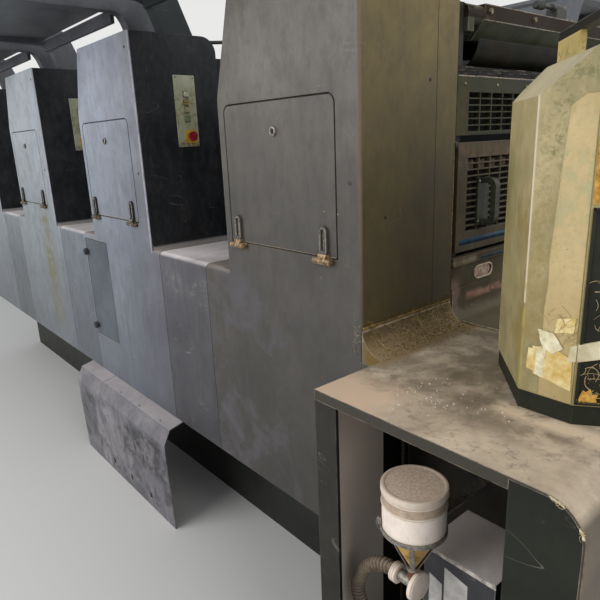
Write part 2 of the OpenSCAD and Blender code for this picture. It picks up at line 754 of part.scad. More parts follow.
// Closed part of a cabinet from x0 on, up to the slab and beyond it to the rolled sheet
module end_block(x0) {
    end_outline(x0, cab_h);
    end_outline(near_x + slab_end, table_z - end_sheet_t);
}
module cabinet_frame() color(frame_green) translate([cab_x, -table_y, 0]) {
    cube([wall_t, cab_d, cab_h]);
    cube([post_w, wall_t, cab_h]);
    translate([wall_t, cab_d - wall_t, 0]) cube([post_w + bay_w - wall_t, wall_t, cab_h]);
    translate([wall_t, wall_t, shelf_z - wall_t]) cube([post_w + bay_w - wall_t, cab_d - 2 * wall_t, wall_t]);
    translate([post_w - riser_r + 1, table_reach + 2 * riser_r, shelf_z - 1])
        cylinder(h = cab_h - shelf_z + 1, r = riser_r);
    translate(hose_path[len(hose_path) - 1] + [near_x - cab_x, table_reach, -collar_h - 1])
        cylinder(h = collar_h + 1, r = collar_r);
}
module cabinet_body() color("#262822") {
    across(-table_y, cab_d) end_block(near_x + slab_end);
    across(-table_y + cab_d, table_y - cab_d - table_inner) end_block(cab_x);
}
module far_cabinet() color(frame_green) across(table_inner, table_y - table_inner) end_block(cab_x);
module decks() color(guard_grey) {
    walk_decks();
    across(-table_inner, 2 * table_inner) end_outline(near_x + 4, table_z - deck_drop);
    across(-table_inner, 2 * table_inner) translate([end_x - end_sheet_t - 1, 0])
        square([end_sheet_t + 1, table_z - deck_drop]);
}

// Powder sprayer in the bay, on an arm from the back wall
pot_x = near_x + 328;
pot_y = -half_w - 170;
bay_back_y = -table_y + cab_d - wall_t;
pot_z = pot_top_z - lid_h - pot_h;
cone_top_r = pot_r - 6;
outlet_r = 10;
lid_rim = 13;
lid_sink = 4;
band_h = 9;
module at_pot(z) translate([pot_x, pot_y, z]) children();
module powder_lid() color("#a8a29a") at_pot(pot_z + pot_h) difference() {
    cylinder(h = lid_h, r = pot_r + 2);
    translate([0, 0, lid_h - lid_sink]) cylinder(h = lid_sink + 1, r = pot_r + 2 - lid_rim);
}
module powder_cone() color("#b08a45") at_pot(pot_z - cone_h)
    rotate_extrude() polygon([[0, 0], [outlet_r, 0], [cone_top_r, cone_h], [0, cone_h]]);

// Tee under the cone, along the press: the hose's cuff on one end, a round cap on the other
tee_r = 15;
tee_from = -60;
tee_to = 10;
tee_z = 742;
riser_pipe_r = 9;
cuff_r = 24;
cuff_len = 20;
cap_r = 38;
cap_t = 10;
module at_tee(x) at_pot(tee_z) translate([x, 0, 0]) rotate([0, 90, 0]) children();
module powder_pot() color(pot_beige) {
    at_pot(pot_z) cylinder(h = pot_h, r = pot_r);
    at_tee(tee_to) cylinder(h = cap_t, r = cap_r);
    at_tee(tee_from) difference() {
        cylinder(h = cuff_len, r = cuff_r);
        translate([0, 0, -1]) cylinder(h = cuff_len + 2, r = tee_r);
    }
}
module powder_bracket() color(bare_steel) {
    at_pot(pot_z - band_h) {
        difference() {
            cylinder(h = band_h, r = pot_r + 1);
            translate([0, 0, -1]) cylinder(h = band_h + 2, r = cone_top_r + 1);
        }
        translate([0, pot_r, 0]) cube([30, bay_back_y - pot_y - pot_r, band_h]);
    }
    at_tee(tee_from) cylinder(h = tee_to - tee_from, r = tee_r);
    at_pot(tee_z) cylinder(h = pot_z - cone_h - tee_z, r = riser_pipe_r);
}
spray_box_x = 298;
module spray_box() color("#4c4d50") translate([near_x + spray_box_x, bay_back_y - spray_box_d, shelf_z])
    cube([spray_box_w, spray_box_d, spray_box_h]);

// Hose from the tee in an arch to the collar on the shelf, drawn as a swept tube
hose_path = [
    [268, -170, 742], [254, -170, 742], [234, -170, 737], [208, -170, 725], [184, -170, 706],
    [164, -170, 682], [149, -170, 654], [139, -170, 622], [137, -170, 592], [143, -168, 562],
    [151, -163, 534], [158, -157, 506], [163, -149, 478], [166, -141, 450], [168, -134, 420],
    [168, -130, 392], [168, -130, shelf_z + 2 * collar_h], [168, -130, shelf_z + collar_h]
];
function unit_vec(v) = v / norm(v);
function path_dir(p, i) = unit_vec(p[min(i + 1, len(p) - 1)] - p[max(i - 1, 0)]);
module swept_tube(p, r, sides) {
    ring = [for (i = [0 : len(p) - 1], s = [0 : sides - 1])
        let (t = path_dir(p, i), a = unit_vec(cross(t, [0, 1, 0.2])), b = cross(t, a), q = 360 * s / sides)
        p[i] + r * (cos(q) * a + sin(q) * b)];
    n = len(p);
    walls = [for (i = [0 : n - 2], s = [0 : sides - 1]) let (u = (s + 1) % sides)
        [i * sides + s, (i + 1) * sides + s, (i + 1) * sides + u, i * sides + u]];
    ends = [[for (s = [0 : sides - 1]) s], [for (s = [sides - 1 : -1 : 0]) (n - 1) * sides + s]];
    polyhedron(ring, concat(walls, ends));
}
module powder_hose() color("#6b5a48") translate([near_x, -half_w, 0]) swept_tube(hose_path, hose_r, 12);

// Console: octagonal plan, with a sloped facet over the large chamfer on the aisle side
console_x = near_x + 306;
console_y = -half_w + 8;
module console_plan(inset) polygon([
    [inset, console_cut_y], [console_cut_x, inset], [console_w - console_end_cut_x, inset],
    [console_w - inset, console_end_cut_y], [console_w - inset, console_d - console_end_cut_y],
    [console_w - console_end_cut_x, console_d - inset], [console_cut_x, console_d - inset],
    [inset, console_d - console_cut_y]
]);
module console_plinth() color("#23261f") translate([console_x, console_y, table_z])
    linear_extrude(plinth_h) console_plan(4);
cut_angle = atan2(console_cut_y, console_cut_x);
facet_angle = 44;
module console_body() color(console_yellow) translate([console_x, console_y, table_z + plinth_h])
    difference() {
        linear_extrude(console_h - plinth_h) console_plan(0);
        translate([0, console_cut_y, console_h - plinth_h - facet_rise])
            rotate([0, 0, -cut_angle]) rotate([facet_angle, 0, 0]) translate([-console_w, -console_d, 0])
                cube([3 * console_w, 2 * console_d, console_w]);
    }

// Post with its flat grab bar, along the facet's upper edge
rail_in = facet_rise / tan(facet_angle) + 1;
rail_start = 38;
rail_post_x = 45;
rail_post_len = 162;
rail_post_t = 12;
rail_post_h = 44;
rail_len = 300;
rail_w = 24;
rail_h = 18;
module console_rail() color("#d0b45a") translate([console_x, console_y + console_cut_y, table_z + console_h])
    rotate([0, 0, -cut_angle]) translate([0, rail_in, 0]) {
        translate([rail_post_x, 0, 0]) cube([rail_post_len, rail_post_t, rail_post_h]);
        translate([rail_start + rail_w / 2, 0, rail_post_h]) cube([rail_len - rail_w / 2, rail_w, rail_h]);
        translate([rail_start + rail_w / 2, rail_w / 2, rail_post_h]) cylinder(h = rail_h, r = rail_w / 2);
    }

// Bent cover plates that stand on the floor and tuck under the covers, the others missing
foot_x = 119;
foot_out = 104;
foot_lean = 12;
foot_bend_z = skirt_z - 93;
foot_flange = 67;
foot_flange_z = skirt_z - 22;
foot_tuck = 14;
foot_seam = 3;
foot_slot_w = 13;
foot_slot_h = 44;
foot_slot_x = 244;
foot_slot_z = 70;
foot_hole_x = 112;
foot_hole_in = 55;
foot_hole_r = 5;
foot_pitch = 229;
module foot_profile() polygon([
    [-foot_out + foot_lean, 0], [-foot_out, foot_bend_z], [-foot_flange, foot_flange_z], [0, skirt_z - 7],
    [foot_tuck, skirt_z], [foot_tuck, skirt_z - foot_sheet_t], [0, skirt_z - 7 - foot_sheet_t],
    [-foot_flange + 2, foot_flange_z - foot_sheet_t], [-foot_out + foot_sheet_t, foot_bend_z - 1],
    [-foot_out + foot_lean + foot_sheet_t, 0]
]);
module foot_plate() color("#6a6d72") translate([unit_x(2) + foot_x, -half_w, 0]) difference() {
    along(-foot_plate_len, foot_plate_len) foot_profile();
    translate([-foot_joint - foot_seam, -foot_out - 1, -1])
        cube([foot_seam, foot_out + foot_tuck + 2, skirt_z + 2]);
    for (i = [0 : 2]) {
        translate([-foot_slot_x - i * foot_pitch, 0, foot_slot_z]) across(-foot_out, foot_out / 2) {
            square([foot_slot_w, foot_slot_h - foot_slot_w], center = true);
            for (end = [-1, 1]) translate([0, end * (foot_slot_h - foot_slot_w) / 2]) circle(foot_slot_w / 2);
        }
        translate([-foot_hole_x - i * foot_pitch, -foot_hole_in, foot_bend_z])
            cylinder(h = skirt_z - foot_bend_z, r = foot_hole_r);
    }
}

tower(1);  // tower_1
tower(2);  // tower_2
tower(3);  // tower_3
tower(4, false);  // tower_4
door(1);  // door_1
door(2);  // door_2
door(3);  // door_3
hatch(2);  // hatch_2
hatch(4);  // hatch_4
recess_covers();
control_plates();
stop_buttons();
awning_drive(1);  // awning_1
awning_drive(2);  // awning_2
awning_drive(3);  // awning_3
far_towers();
fixed_doors();
far_awnings();
side_frames();
unit_cores();
rollers();
guard_beams();
wiper_strips();
mesh_guards();
swing_guard();
guard_pins();
guard_handle();
guard_aprons();
levers();
bed_rails();
table_tops();
cabinet_frame();
cabinet_body();
far_cabinet();
decks();
powder_pot();
powder_lid();
powder_cone();
powder_bracket();
powder_hose();
spray_box();
console_plinth();
console_body();
console_rail();
foot_plate();
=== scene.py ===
import bmesh
import bpy
import math
import random
from mathutils import Matrix, Vector


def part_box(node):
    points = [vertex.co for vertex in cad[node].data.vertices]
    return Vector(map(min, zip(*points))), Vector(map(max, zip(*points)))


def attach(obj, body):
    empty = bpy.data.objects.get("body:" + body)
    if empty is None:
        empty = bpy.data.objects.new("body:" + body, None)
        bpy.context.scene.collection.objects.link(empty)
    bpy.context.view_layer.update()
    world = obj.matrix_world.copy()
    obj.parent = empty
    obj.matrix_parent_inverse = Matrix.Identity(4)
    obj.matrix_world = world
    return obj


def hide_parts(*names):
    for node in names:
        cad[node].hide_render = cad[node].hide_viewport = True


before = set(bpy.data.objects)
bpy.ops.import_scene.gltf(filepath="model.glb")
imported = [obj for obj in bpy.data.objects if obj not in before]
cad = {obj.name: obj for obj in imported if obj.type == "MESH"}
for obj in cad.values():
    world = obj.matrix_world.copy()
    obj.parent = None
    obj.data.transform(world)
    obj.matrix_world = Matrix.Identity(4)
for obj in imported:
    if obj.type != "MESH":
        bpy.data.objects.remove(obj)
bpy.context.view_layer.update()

# Camera: stands 1.8 m above the floor beside the delivery end and looks back along the
# covers. Place and turn were solved from the straight edges of the towers and the table.
CAMERA_AT = (3.052, -2.1201, 1.820)
YAW, PITCH_DOWN, ROLL = 50.12, -15.9, -2.38
LENS_MM, SENSOR_MM = 33.96, 36.0
camera = bpy.data.objects.new("camera", bpy.data.cameras.new("camera"))
camera.data.lens, camera.data.sensor_width = LENS_MM, SENSOR_MM
camera.data.clip_end = 100
camera.matrix_world = (Matrix.Translation(CAMERA_AT) @ Matrix.Rotation(math.radians(YAW), 4, "Z")
                       @ Matrix.Rotation(math.radians(90 + PITCH_DOWN), 4, "X")
                       @ Matrix.Rotation(math.radians(ROLL), 4, "Z"))
bpy.context.scene.collection.objects.link(camera)
bpy.context.scene.camera = camera


# Powder hose: blown corrugated PVC hose of 40 mm, pushed into the cuff under the sprayer's
# cone and bent back down to the collar on the shelf. Dusty grey-brown, ribs 12 mm apart.
def linear(hex_colour):
    parts = [int(hex_colour[i:i + 2], 16) / 255 for i in (1, 3, 5)]
    return tuple(c / 12.92 if c <= 0.04045 else ((c + 0.055) / 1.055) ** 2.4 for c in parts) + (1.0,)


def add(tree, kind, inputs=None, stops=None, **settings):
    """Adds a shader node, with its settings, its colour stops, and its inputs' values or links."""
    made = tree.nodes.new("ShaderNode" + kind)
    for key, value in settings.items():
        setattr(made, key, value)
    if stops:
        ramp = made.color_ramp.elements
        while len(ramp) < len(stops):
            ramp.new(0.5)
        for element, (place, level) in zip(ramp, stops):
            element.position = place
            element.color = level if isinstance(level, tuple) else (level, level, level, 1)
    for key, value in (inputs or {}).items():
        if isinstance(value, bpy.types.NodeSocket):
            tree.links.new(value, made.inputs[key])
        else:
            made.inputs[key].default_value = value
    return made


def new_material(name, **shader_values):
    material = bpy.data.materials.new(name)
    material.use_nodes = True
    tree = material.node_tree
    shader = tree.nodes["Principled BSDF"]
    for key, value in shader_values.items():
        shader.inputs[key.replace("_", " ")].default_value = value
    return material, tree, shader


def speckled(name, low, high, grain_mm, grain_bump=0.3, **shader_values):
    """Material of two tones in grains of one size, the grain raised a little as well."""
    material, tree, shader = new_material(name, **shader_values)
    at = add(tree, "TexCoord").outputs["Object"]
    grain = add(tree, "TexNoise", {"Vector": at, "Scale": 1000 / grain_mm, "Detail": 5.0, "Roughness": 0.6})
    tones = add(tree, "ValToRGB", {"Fac": grain.outputs["Fac"]},
                stops=[(0.36, linear(low)), (0.64, linear(high))])
    raised = add(tree, "Bump", {"Height": grain.outputs["Fac"], "Strength": grain_bump,
                                "Distance": grain_mm / 8000})
    tree.links.new(tones.outputs["Color"], shader.inputs["Base Color"])
    tree.links.new(raised.outputs["Normal"], shader.inputs["Normal"])
    return material


def new_piece(name, shape, material, body="press", smooth=40):
    """Turns the shape into a piece on a body; faces that meet below the smooth angle shade as one."""
    mesh = bpy.data.meshes.new(name)
    bmesh.ops.recalc_face_normals(shape, faces=shape.faces)
    shape.to_mesh(mesh)
    shape.free()
    mesh.materials.append(material)
    for polygon in mesh.polygons:
        polygon.use_smooth = True
    mesh.set_sharp_from_angle(angle=math.radians(smooth))
    piece = bpy.data.objects.new(name, mesh)
    bpy.context.scene.collection.objects.link(piece)
    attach(piece, body)
    return piece


def smooth_line(points, step):
    """Points every step metres along the Catmull-Rom curve through the given ones."""
    dense = []
    for i in range(len(points) - 1):
        a, b, c, d = (points[max(i - 1, 0)], points[i], points[i + 1], points[min(i + 2, len(points) - 1)])
        for j in range(12):
            t = j / 12
            dense.append(0.5 * (2 * b + (c - a) * t + (2 * a - 5 * b + 4 * c - d) * t * t
                                + (3 * b - a - 3 * c + d) * t ** 3))
    dense.append(points[-1])
    line, carried = [dense[0]], 0.0
    for p, q in zip(dense, dense[1:]):
        length = (q - p).length
        while carried + length >= step:
            p = p + (q - p).normalized() * (step - carried)
            line.append(p)
            length, carried = (q - p).length, 0.0
        carried += length
    line.append(dense[-1])
    return line


def tube(shape, line, radius, sides=20, closed=False):
    """Tube along a line. radius is one size, or gives the size at each distance along the line."""
    rings, travelled, side = [], 0.0, None
    last = len(line) - 1
    for i, p in enumerate(line):
        after = line[(i + 1) % len(line)] if closed else line[min(i + 1, last)]
        before = line[i - 1] if closed or i else p
        ahead = (after - before).normalized()
        if side is None:
            side = ahead.orthogonal().normalized()
        side = (side - ahead * side.dot(ahead)).normalized()
        up = ahead.cross(side)
        travelled += (p - line[i - 1]).length if i else 0
        r = radius(travelled) if callable(radius) else radius
        rings.append([shape.verts.new(p + r * (math.cos(a) * side + math.sin(a) * up))
                      for a in (2 * math.pi * k / sides for k in range(sides))])
    for low, high in zip(rings, rings[1:] + rings[:1] if closed else rings[1:]):
        for k in range(sides):
            shape.faces.new((low[k], low[(k + 1) % sides], high[(k + 1) % sides], high[k]))
    if not closed:
        shape.faces.new(list(reversed(rings[0])))
        shape.faces.new(rings[-1])


# near edge of the last tower along the press, and the outer face of its side covers
PRESS_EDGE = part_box("tower_1")[1][0] - 0.075
FACE_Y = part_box("recess_covers")[0][1]
HOSE_R, RIB_PITCH, RIB_DEPTH = 0.020, 0.0120, 0.0062
# the route repeats the part's own, in millimetres from the tower's edge and face
HOSE_ROUTE = [
    (268, -170, 742), (254, -170, 742), (234, -170, 737), (208, -170, 725), (184, -170, 706),
    (164, -170, 682), (149, -170, 654), (139, -170, 622), (137, -170, 592), (143, -168, 562),
    (151, -163, 534), (158, -157, 506), (163, -149, 478), (166, -141, 450), (168, -134, 420),
    (168, -130, 392), (168, -130, 360), (168, -130, 345),
]
hose_line = smooth_line([Vector((PRESS_EDGE + x / 1000, FACE_Y + y / 1000, z / 1000)) for x, y,
                         z in HOSE_ROUTE], 0.0012)
hose_shape = bmesh.new()
tube(hose_shape, hose_line, lambda s: HOSE_R - RIB_DEPTH * abs(math.cos(math.pi * s / RIB_PITCH)) ** 1.6,
     sides=24)
# soft corrugated PVC gives a dull grey-brown, with dust on top of the ribs; the grooves are darkened by an
# ambient occlusion mask, painted shade
hose_vinyl, tree, shader = new_material("dusty_corrugated_vinyl", Roughness=0.7)
at = add(tree, "TexCoord").outputs["Object"]
film = add(tree, "TexNoise", {"Vector": at, "Scale": 1000 / 16, "Detail": 5.0})
hose_colour = add(tree, "ValToRGB", {"Fac": film.outputs["Fac"]},
                  stops=[(0.35, linear("#5c4b3c")), (0.65, linear("#8f7b66"))])
upward = add(tree, "SeparateXYZ", {"Vector": add(tree, "TexCoord").outputs["Normal"]})
dusty = add(tree, "MapRange", {"Value": upward.outputs["Z"], "From Min": 0.1, "From Max": 0.9, "To Max": 0.6})
hose_dust = add(tree, "Mix", {"Factor": dusty.outputs[0], "A": hose_colour.outputs["Color"],
                              "B": linear("#a39280")}, data_type="RGBA")
shelter = add(tree, "AmbientOcclusion", {"Distance": 0.012}, samples=6)
groove = add(tree, "MapRange", {"Value": shelter.outputs["AO"], "From Min": 0.45, "From Max": 0.9,
                                "To Min": 0.06})
hose_groove_shade = add(tree, "Mix", {"Factor": 1.0, "A": hose_dust.outputs["Result"], "B": groove.outputs[0]},
                data_type="RGBA", blend_type="MULTIPLY")
tree.links.new(hose_groove_shade.outputs["Result"], shader.inputs["Base Color"])
hose = new_piece("powder_hose_ribbed", hose_shape, hose_vinyl, smooth=75)
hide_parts("powder_hose")

# Floor and backdrop: plain pale studio floor that takes the press's shadow, and a white
# surround that only the camera and reflections see.
floor_paint, tree, shader = new_material("plain_pale_floor", Base_Color=linear("#d5d3cf"), Roughness=0.9)
shader.inputs["Specular IOR Level"].default_value = 0.1
floor_shape = bmesh.new()
bmesh.ops.create_grid(floor_shape, x_segments=1, y_segments=1, size=30)
floor_mesh = bpy.data.meshes.new("studio_floor")
floor_shape.to_mesh(floor_mesh)
floor_shape.free()
floor_mesh.materials.append(floor_paint)
floor = bpy.data.objects.new("studio_floor", floor_mesh)
bpy.context.scene.collection.objects.link(floor)

world = bpy.data.worlds.new("studio")
bpy.context.scene.world = world
world.use_nodes = True
tree = world.node_tree
tree.nodes.clear()
seen = add(tree, "LightPath")
seen_or_glossy = add(tree, "Math", {0: seen.outputs["Is Camera Ray"], 1: seen.outputs["Is Glossy Ray"]},
                     operation="MAXIMUM")
seen_any = add(tree, "Math", {0: seen_or_glossy.outputs[0], 1: seen.outputs["Is Transmission Ray"]},
               operation="MAXIMUM")
soft = add(tree, "Background", {"Color": linear("#dfe4ea"), "Strength": 0.62})
pale = add(tree, "Background", {"Color": linear("#e9e9e8"), "Strength": 1.0})
chosen = add(tree, "MixShader", {0: seen_any.outputs[0], 1: soft.outputs[0], 2: pale.outputs[0]})
add(tree, "OutputWorld", {"Surface": chosen.outputs[0]})

# Lamps: a broad soft lamp above the aisle side and a weaker one beyond the delivery end,
# with no hard shadow edges.
for lamp_name, place, aim, size, power in (
        ("aisle_lamp", (-0.2, -6.4, 3.3), (0.6, -1, 1.1), 5.0, 265),
        ("delivery_lamp", (6.5, -1.0, 4.5), (2, 0, 1.2), 4.0, 150)):
    lamp = bpy.data.objects.new(lamp_name, bpy.data.lights.new(lamp_name, "AREA"))
    lamp.data.size, lamp.data.energy = size, power
    lamp.location = place
    lamp.rotation_euler = (Vector(aim) - Vector(place)).to_track_quat("-Z", "Y").to_euler()
    bpy.context.scene.collection.objects.link(lamp)
bpy.context.scene.view_settings.view_transform = "Standard"


# Side covers: 2 mm sheet steel, folded and welded, in a satin grey machine enamel that is rubbed, dusty and
# streaked, paler towards the far end, partly as a painted reflection of the sky. The towers' recess faces are
# nearly black, from oil and from painted shade; painted shade also darkens the sheets low down.
def enamel(name, coat, faded, grime, faces=(), tone=None, streaks=(18, 600, 0.5), scuffs=0.3, roughness=0.5,
           gloss=0.3, edge="#9a8c7d", wear=0.3, dust="#a1978d", dusty=0.85, specks=None, patches=(),
           corner=None, plating=None):
    """Sprayed machine enamel on sheet steel. coat: a hex, or (x, hex) stops along the press. faces: (axis,
    sign, coat, faded) of a side that has another tone. tone: (z, level) stops up the sheet that multiply its
    colour, painted shade where they darken it. streaks: (width mm, length mm, share). specks: (hex, size mm,
    share). patches: (lowest corner, highest corner, hex, soft edge, grain mm, share), None where unbounded.
    corner: (hex, low z, high z) of a rounding rubbed pale between those heights, its pale line partly a
    painted
    highlight. plating: the hinge straps' tone, then the three tones of their lugs and the lock."""
    material, tree, shader = new_material(name, Roughness=roughness)
    shader.inputs["Specular IOR Level"].default_value = gloss
    place = add(tree, "TexCoord")
    at = place.outputs["Object"]
    facing = add(tree, "SeparateXYZ", {"Vector": place.outputs["Normal"]})
    spot = add(tree, "SeparateXYZ", {"Vector": at})
    # clouds of fading, 310 mm across, broken up by smaller ones
    clouds = add(tree, "TexNoise", {"Vector": at, "Scale": 1000 / 310, "Detail": 9.0, "Roughness": 0.64,
                                    "Distortion": 0.4})
    cloud = add(tree, "ValToRGB", {"Fac": clouds.outputs["Fac"]},
                stops=[(0.36, 0.0), (0.66, 1.0)]).outputs["Color"]
    if isinstance(coat, str):
        clean, old = linear(coat), linear(faded)
    else:
        first, last = coat[0][0], coat[-1][0]
        along = add(tree, "MapRange", {"Value": spot.outputs["X"], "From Min": first, "From Max": last})
        clean = add(tree, "ValToRGB", {"Fac": along.outputs[0]},
                    stops=[((x - first) / (last - first), linear(tint)) for x, tint in coat]).outputs["Color"]
        old = add(tree, "Mix", {"Factor": 0.16, "A": clean, "B": linear(faded)},
                  data_type="RGBA").outputs["Result"]
    layers = [(cloud, old)]
    # streaks that hang down the sheet, pale where it was wiped and, in some areas, dark where oil ran
    streak_w, streak_l, streak_share = streaks
    hang = add(tree, "Mapping", {"Vector": at, "Scale": (1000 / streak_w, 1000 / streak_w, 1000 / streak_l)})
    streak = add(tree, "TexNoise", {"Vector": hang.outputs[0], "Scale": 1.0, "Detail": 6.0,
                                    "Roughness": 0.66})
    washed = add(tree, "MapRange", {"Value": streak.outputs["Fac"], "From Min": 0.42, "From Max": 0.28,
                                    "To Max": streak_share * 0.5})
    layers.append((washed.outputs[0], old))
    areas = add(tree, "TexNoise", {"Vector": at, "Scale": 1000 / 420, "Detail": 4.0, "Distortion": 0.6})
    area = add(tree, "MapRange", {"Value": areas.outputs["Fac"], "From Min": 0.38, "From Max": 0.62})
    ran = add(tree, "MapRange", {"Value": streak.outputs["Fac"], "From Min": 0.45, "From Max": 0.74,
                                 "To Max": streak_share})
    ran = add(tree, "Math", {0: ran.outputs[0], 1: area.outputs[0]}, operation="MULTIPLY")
    layers.append((ran.outputs[0], linear(grime)))
    for axis, sign, face_coat, face_faded in faces:
        way = add(tree, "Math", {0: facing.outputs[axis], 1: sign}, operation="MULTIPLY")
        turned = add(tree, "MapRange", {"Value": way.outputs[0], "From Min": 0.72, "From Max": 0.9})
        other = add(tree, "Mix", {"Factor": cloud, "A": linear(face_coat), "B": linear(face_faded)},
                    data_type="RGBA")
        layers.append((turned.outputs[0], other.outputs["Result"]))
    # oily smudges, 130 mm across
    smudges = add(tree, "TexNoise", {"Vector": at, "Scale": 1000 / 130, "Detail": 8.0, "Distortion": 0.3})
    smudge = add(tree, "ValToRGB", {"Fac": smudges.outputs["Fac"]},
                 stops=[(0.48, 0.0), (0.80, 0.3)]).outputs["Color"]
    layers.append((smudge, linear(grime)))
    # fine mottling, 34 mm across and drawn out downwards, where dirt has stuck to the oily coat
    drawn_out = add(tree, "Mapping", {"Vector": at, "Scale": (1000 / 34, 1000 / 34, 1000 / 70)})
    mottling = add(tree, "TexNoise", {"Vector": drawn_out.outputs[0], "Scale": 1.0, "Detail": 9.0,
                                      "Roughness": 0.78})
    mottled = add(tree, "ValToRGB", {"Fac": mottling.outputs["Fac"]},
                  stops=[(0.46, 0.0), (0.70, 0.40)]).outputs["Color"]
    layers.append((mottled, linear(grime)))
    # light scuffs, bent lines about 1 mm wide, drawn at 1.5 mm so that they show
    bend = add(tree, "Mapping", {"Vector": at, "Rotation": (0.3, 0.5, 0.2), "Scale": (1.4, 1.4, 5.0)})
    scuff = add(tree, "TexNoise", {"Vector": bend.outputs[0], "Scale": 2.2, "Detail": 2.0, "Distortion": 0.7})
    line = add(tree, "ValToRGB", {"Fac": scuff.outputs["Fac"]},
               stops=[(0.497, 0.0), (0.5, 1.0), (0.503, 0.0)])
    sparse = add(tree, "TexNoise", {"Vector": at, "Scale": 1000 / 150, "Detail": 3.0})
    few = add(tree, "MapRange", {"Value": sparse.outputs["Fac"], "From Min": 0.54, "From Max": 0.7,
                                 "To Max": scuffs})
    few = add(tree, "Math", {0: line.outputs["Color"], 1: few.outputs[0]}, operation="MULTIPLY")
    layers.append((few.outputs[0], linear("#b9b2aa")))
    for low, high, patch_hex, soft_edge, grain_mm, share in patches:
        ragged = add(tree, "TexNoise", {"Vector": at, "Scale": 1000 / grain_mm, "Detail": 6.0,
                                        "Roughness": 0.7, "Distortion": 0.5})
        inside = add(tree, "MapRange", {"Value": ragged.outputs["Fac"], "From Min": 0.66 - 0.4 * share,
                                        "From Max": 0.8 - 0.4 * share, "To Max": min(1.0, 0.5 + 0.5 * share)})
        for axis, lowest, highest in zip("XYZ", low, high):
            for bound, inward in ((lowest, soft_edge), (highest, -soft_edge)):
                if bound is not None:
                    edge_in = add(tree, "MapRange", {"Value": spot.outputs[axis], "From Min": bound,
                                                     "From Max": bound + inward})
                    inside = add(tree, "Math", {0: inside.outputs[0], 1: edge_in.outputs[0]},
                                 operation="MULTIPLY")
        layers.append((inside.outputs[0], linear(patch_hex)))
    if specks:
        # flecks one to a 28 mm cell, most cells empty
        speck_hex, speck_mm, share = specks
        cells = add(tree, "TexVoronoi", {"Vector": at, "Scale": 1000 / 28, "Randomness": 1.0})
        near = add(tree, "Math", {0: cells.outputs["Distance"], 1: speck_mm / 56}, operation="LESS_THAN")
        lot = add(tree, "SeparateXYZ", {"Vector": cells.outputs["Color"]})
        drawn = add(tree, "Math", {0: lot.outputs["X"], 1: share}, operation="LESS_THAN")
        fleck = add(tree, "Math", {0: near.outputs[0], 1: drawn.outputs[0]}, operation="MULTIPLY")
        layers.append((fleck.outputs[0], linear(speck_hex)))
    # dust that settles on what faces up; where a material's dust is set near white, it is also painted light
    # on the tops
    dust_and_top_light = add(tree, "MapRange", {"Value": facing.outputs["Z"], "From Min": 0.4, "From Max": 0.95,
                                  "To Max": dusty})
    swept = add(tree, "ValToRGB", {"Fac": clouds.outputs["Fac"]}, stops=[(0.3, 0.55), (0.6, 1.0)])
    dust_and_top_light = add(tree, "Math", {0: dust_and_top_light.outputs[0], 1: swept.outputs["Color"]}, operation="MULTIPLY")
    # edges rubbed through to a paler coat, ragged at 40 mm
    rounded = add(tree, "Bevel", {"Radius": 0.0035}, samples=4)
    true_face = add(tree, "NewGeometry")
    alike = add(tree, "VectorMath", {0: rounded.outputs["Normal"], 1: true_face.outputs["Normal"]},
                operation="DOT_PRODUCT")
    near_edge = add(tree, "MapRange", {"Value": alike.outputs["Value"], "From Min": 0.992, "From Max": 0.9})
    chips = add(tree, "TexNoise", {"Vector": at, "Scale": 1000 / 40, "Detail": 5.0, "Roughness": 0.7})
    chipped = add(tree, "MapRange", {"Value": chips.outputs["Fac"], "From Min": 0.34, "From Max": 0.6,
                                     "To Max": wear})
    rubbed = add(tree, "Math", {0: near_edge.outputs[0], 1: chipped.outputs[0]}, operation="MULTIPLY")
    layers.append((rubbed.outputs[0], linear(edge)))
    # the upright corner's rounding: rubbed paint, and a painted highlight where it turns between front and
    # side
    if corner:
        corner_wear_and_highlight_hex, corner_low, corner_high = corner
        front = add(tree, "Math", {0: facing.outputs["Y"], 1: -1.0}, operation="MULTIPLY")
        between = add(tree, "Math", {0: facing.outputs["X"], 1: front.outputs[0]}, operation="MULTIPLY")
        rounding = add(tree, "MapRange", {"Value": between.outputs[0], "From Min": 0.28, "From Max": 0.46})
        climbs = add(tree, "MapRange", {"Value": spot.outputs["Z"], "From Min": corner_low,
                                        "From Max": corner_high, "To Min": 0.1})
        worn_off = add(tree, "MapRange", {"Value": chips.outputs["Fac"], "From Min": 0.28, "From Max": 0.5,
                                          "To Min": 0.35})
        for factor in (climbs, worn_off):
            rounding = add(tree, "Math", {0: rounding.outputs[0], 1: factor.outputs[0]}, operation="MULTIPLY")
        layers.append((rounding.outputs[0], linear(corner_wear_and_highlight_hex)))
    colour = clean
    for number, (share, over) in enumerate(layers):
        colour = add(tree, "Mix", {"Factor": share, "A": colour, "B": over},
                     data_type="RGBA").outputs["Result"]
        if tone and number == len(faces) + 2:
            # painted shade by height: the colour is multiplied by the tone stops, darker lower down
            bottom, top = tone[0][0], tone[-1][0]
            climb = add(tree, "MapRange", {"Value": spot.outputs["Z"], "From Min": bottom, "From Max": top})
            level = add(tree, "ValToRGB", {"Fac": climb.outputs[0]},
                        stops=[((z - bottom) / (top - bottom), shade) for z, shade in tone])
            colour = add(tree, "Mix", {"Factor": 1.0, "A": colour, "B": level.outputs["Color"]},
                         data_type="RGBA", blend_type="MULTIPLY").outputs["Result"]
    colour = add(tree, "Mix", {"Factor": dust_and_top_light.outputs[0], "A": colour, "B": linear(dust)},
                 data_type="RGBA").outputs["Result"]
    if plating:
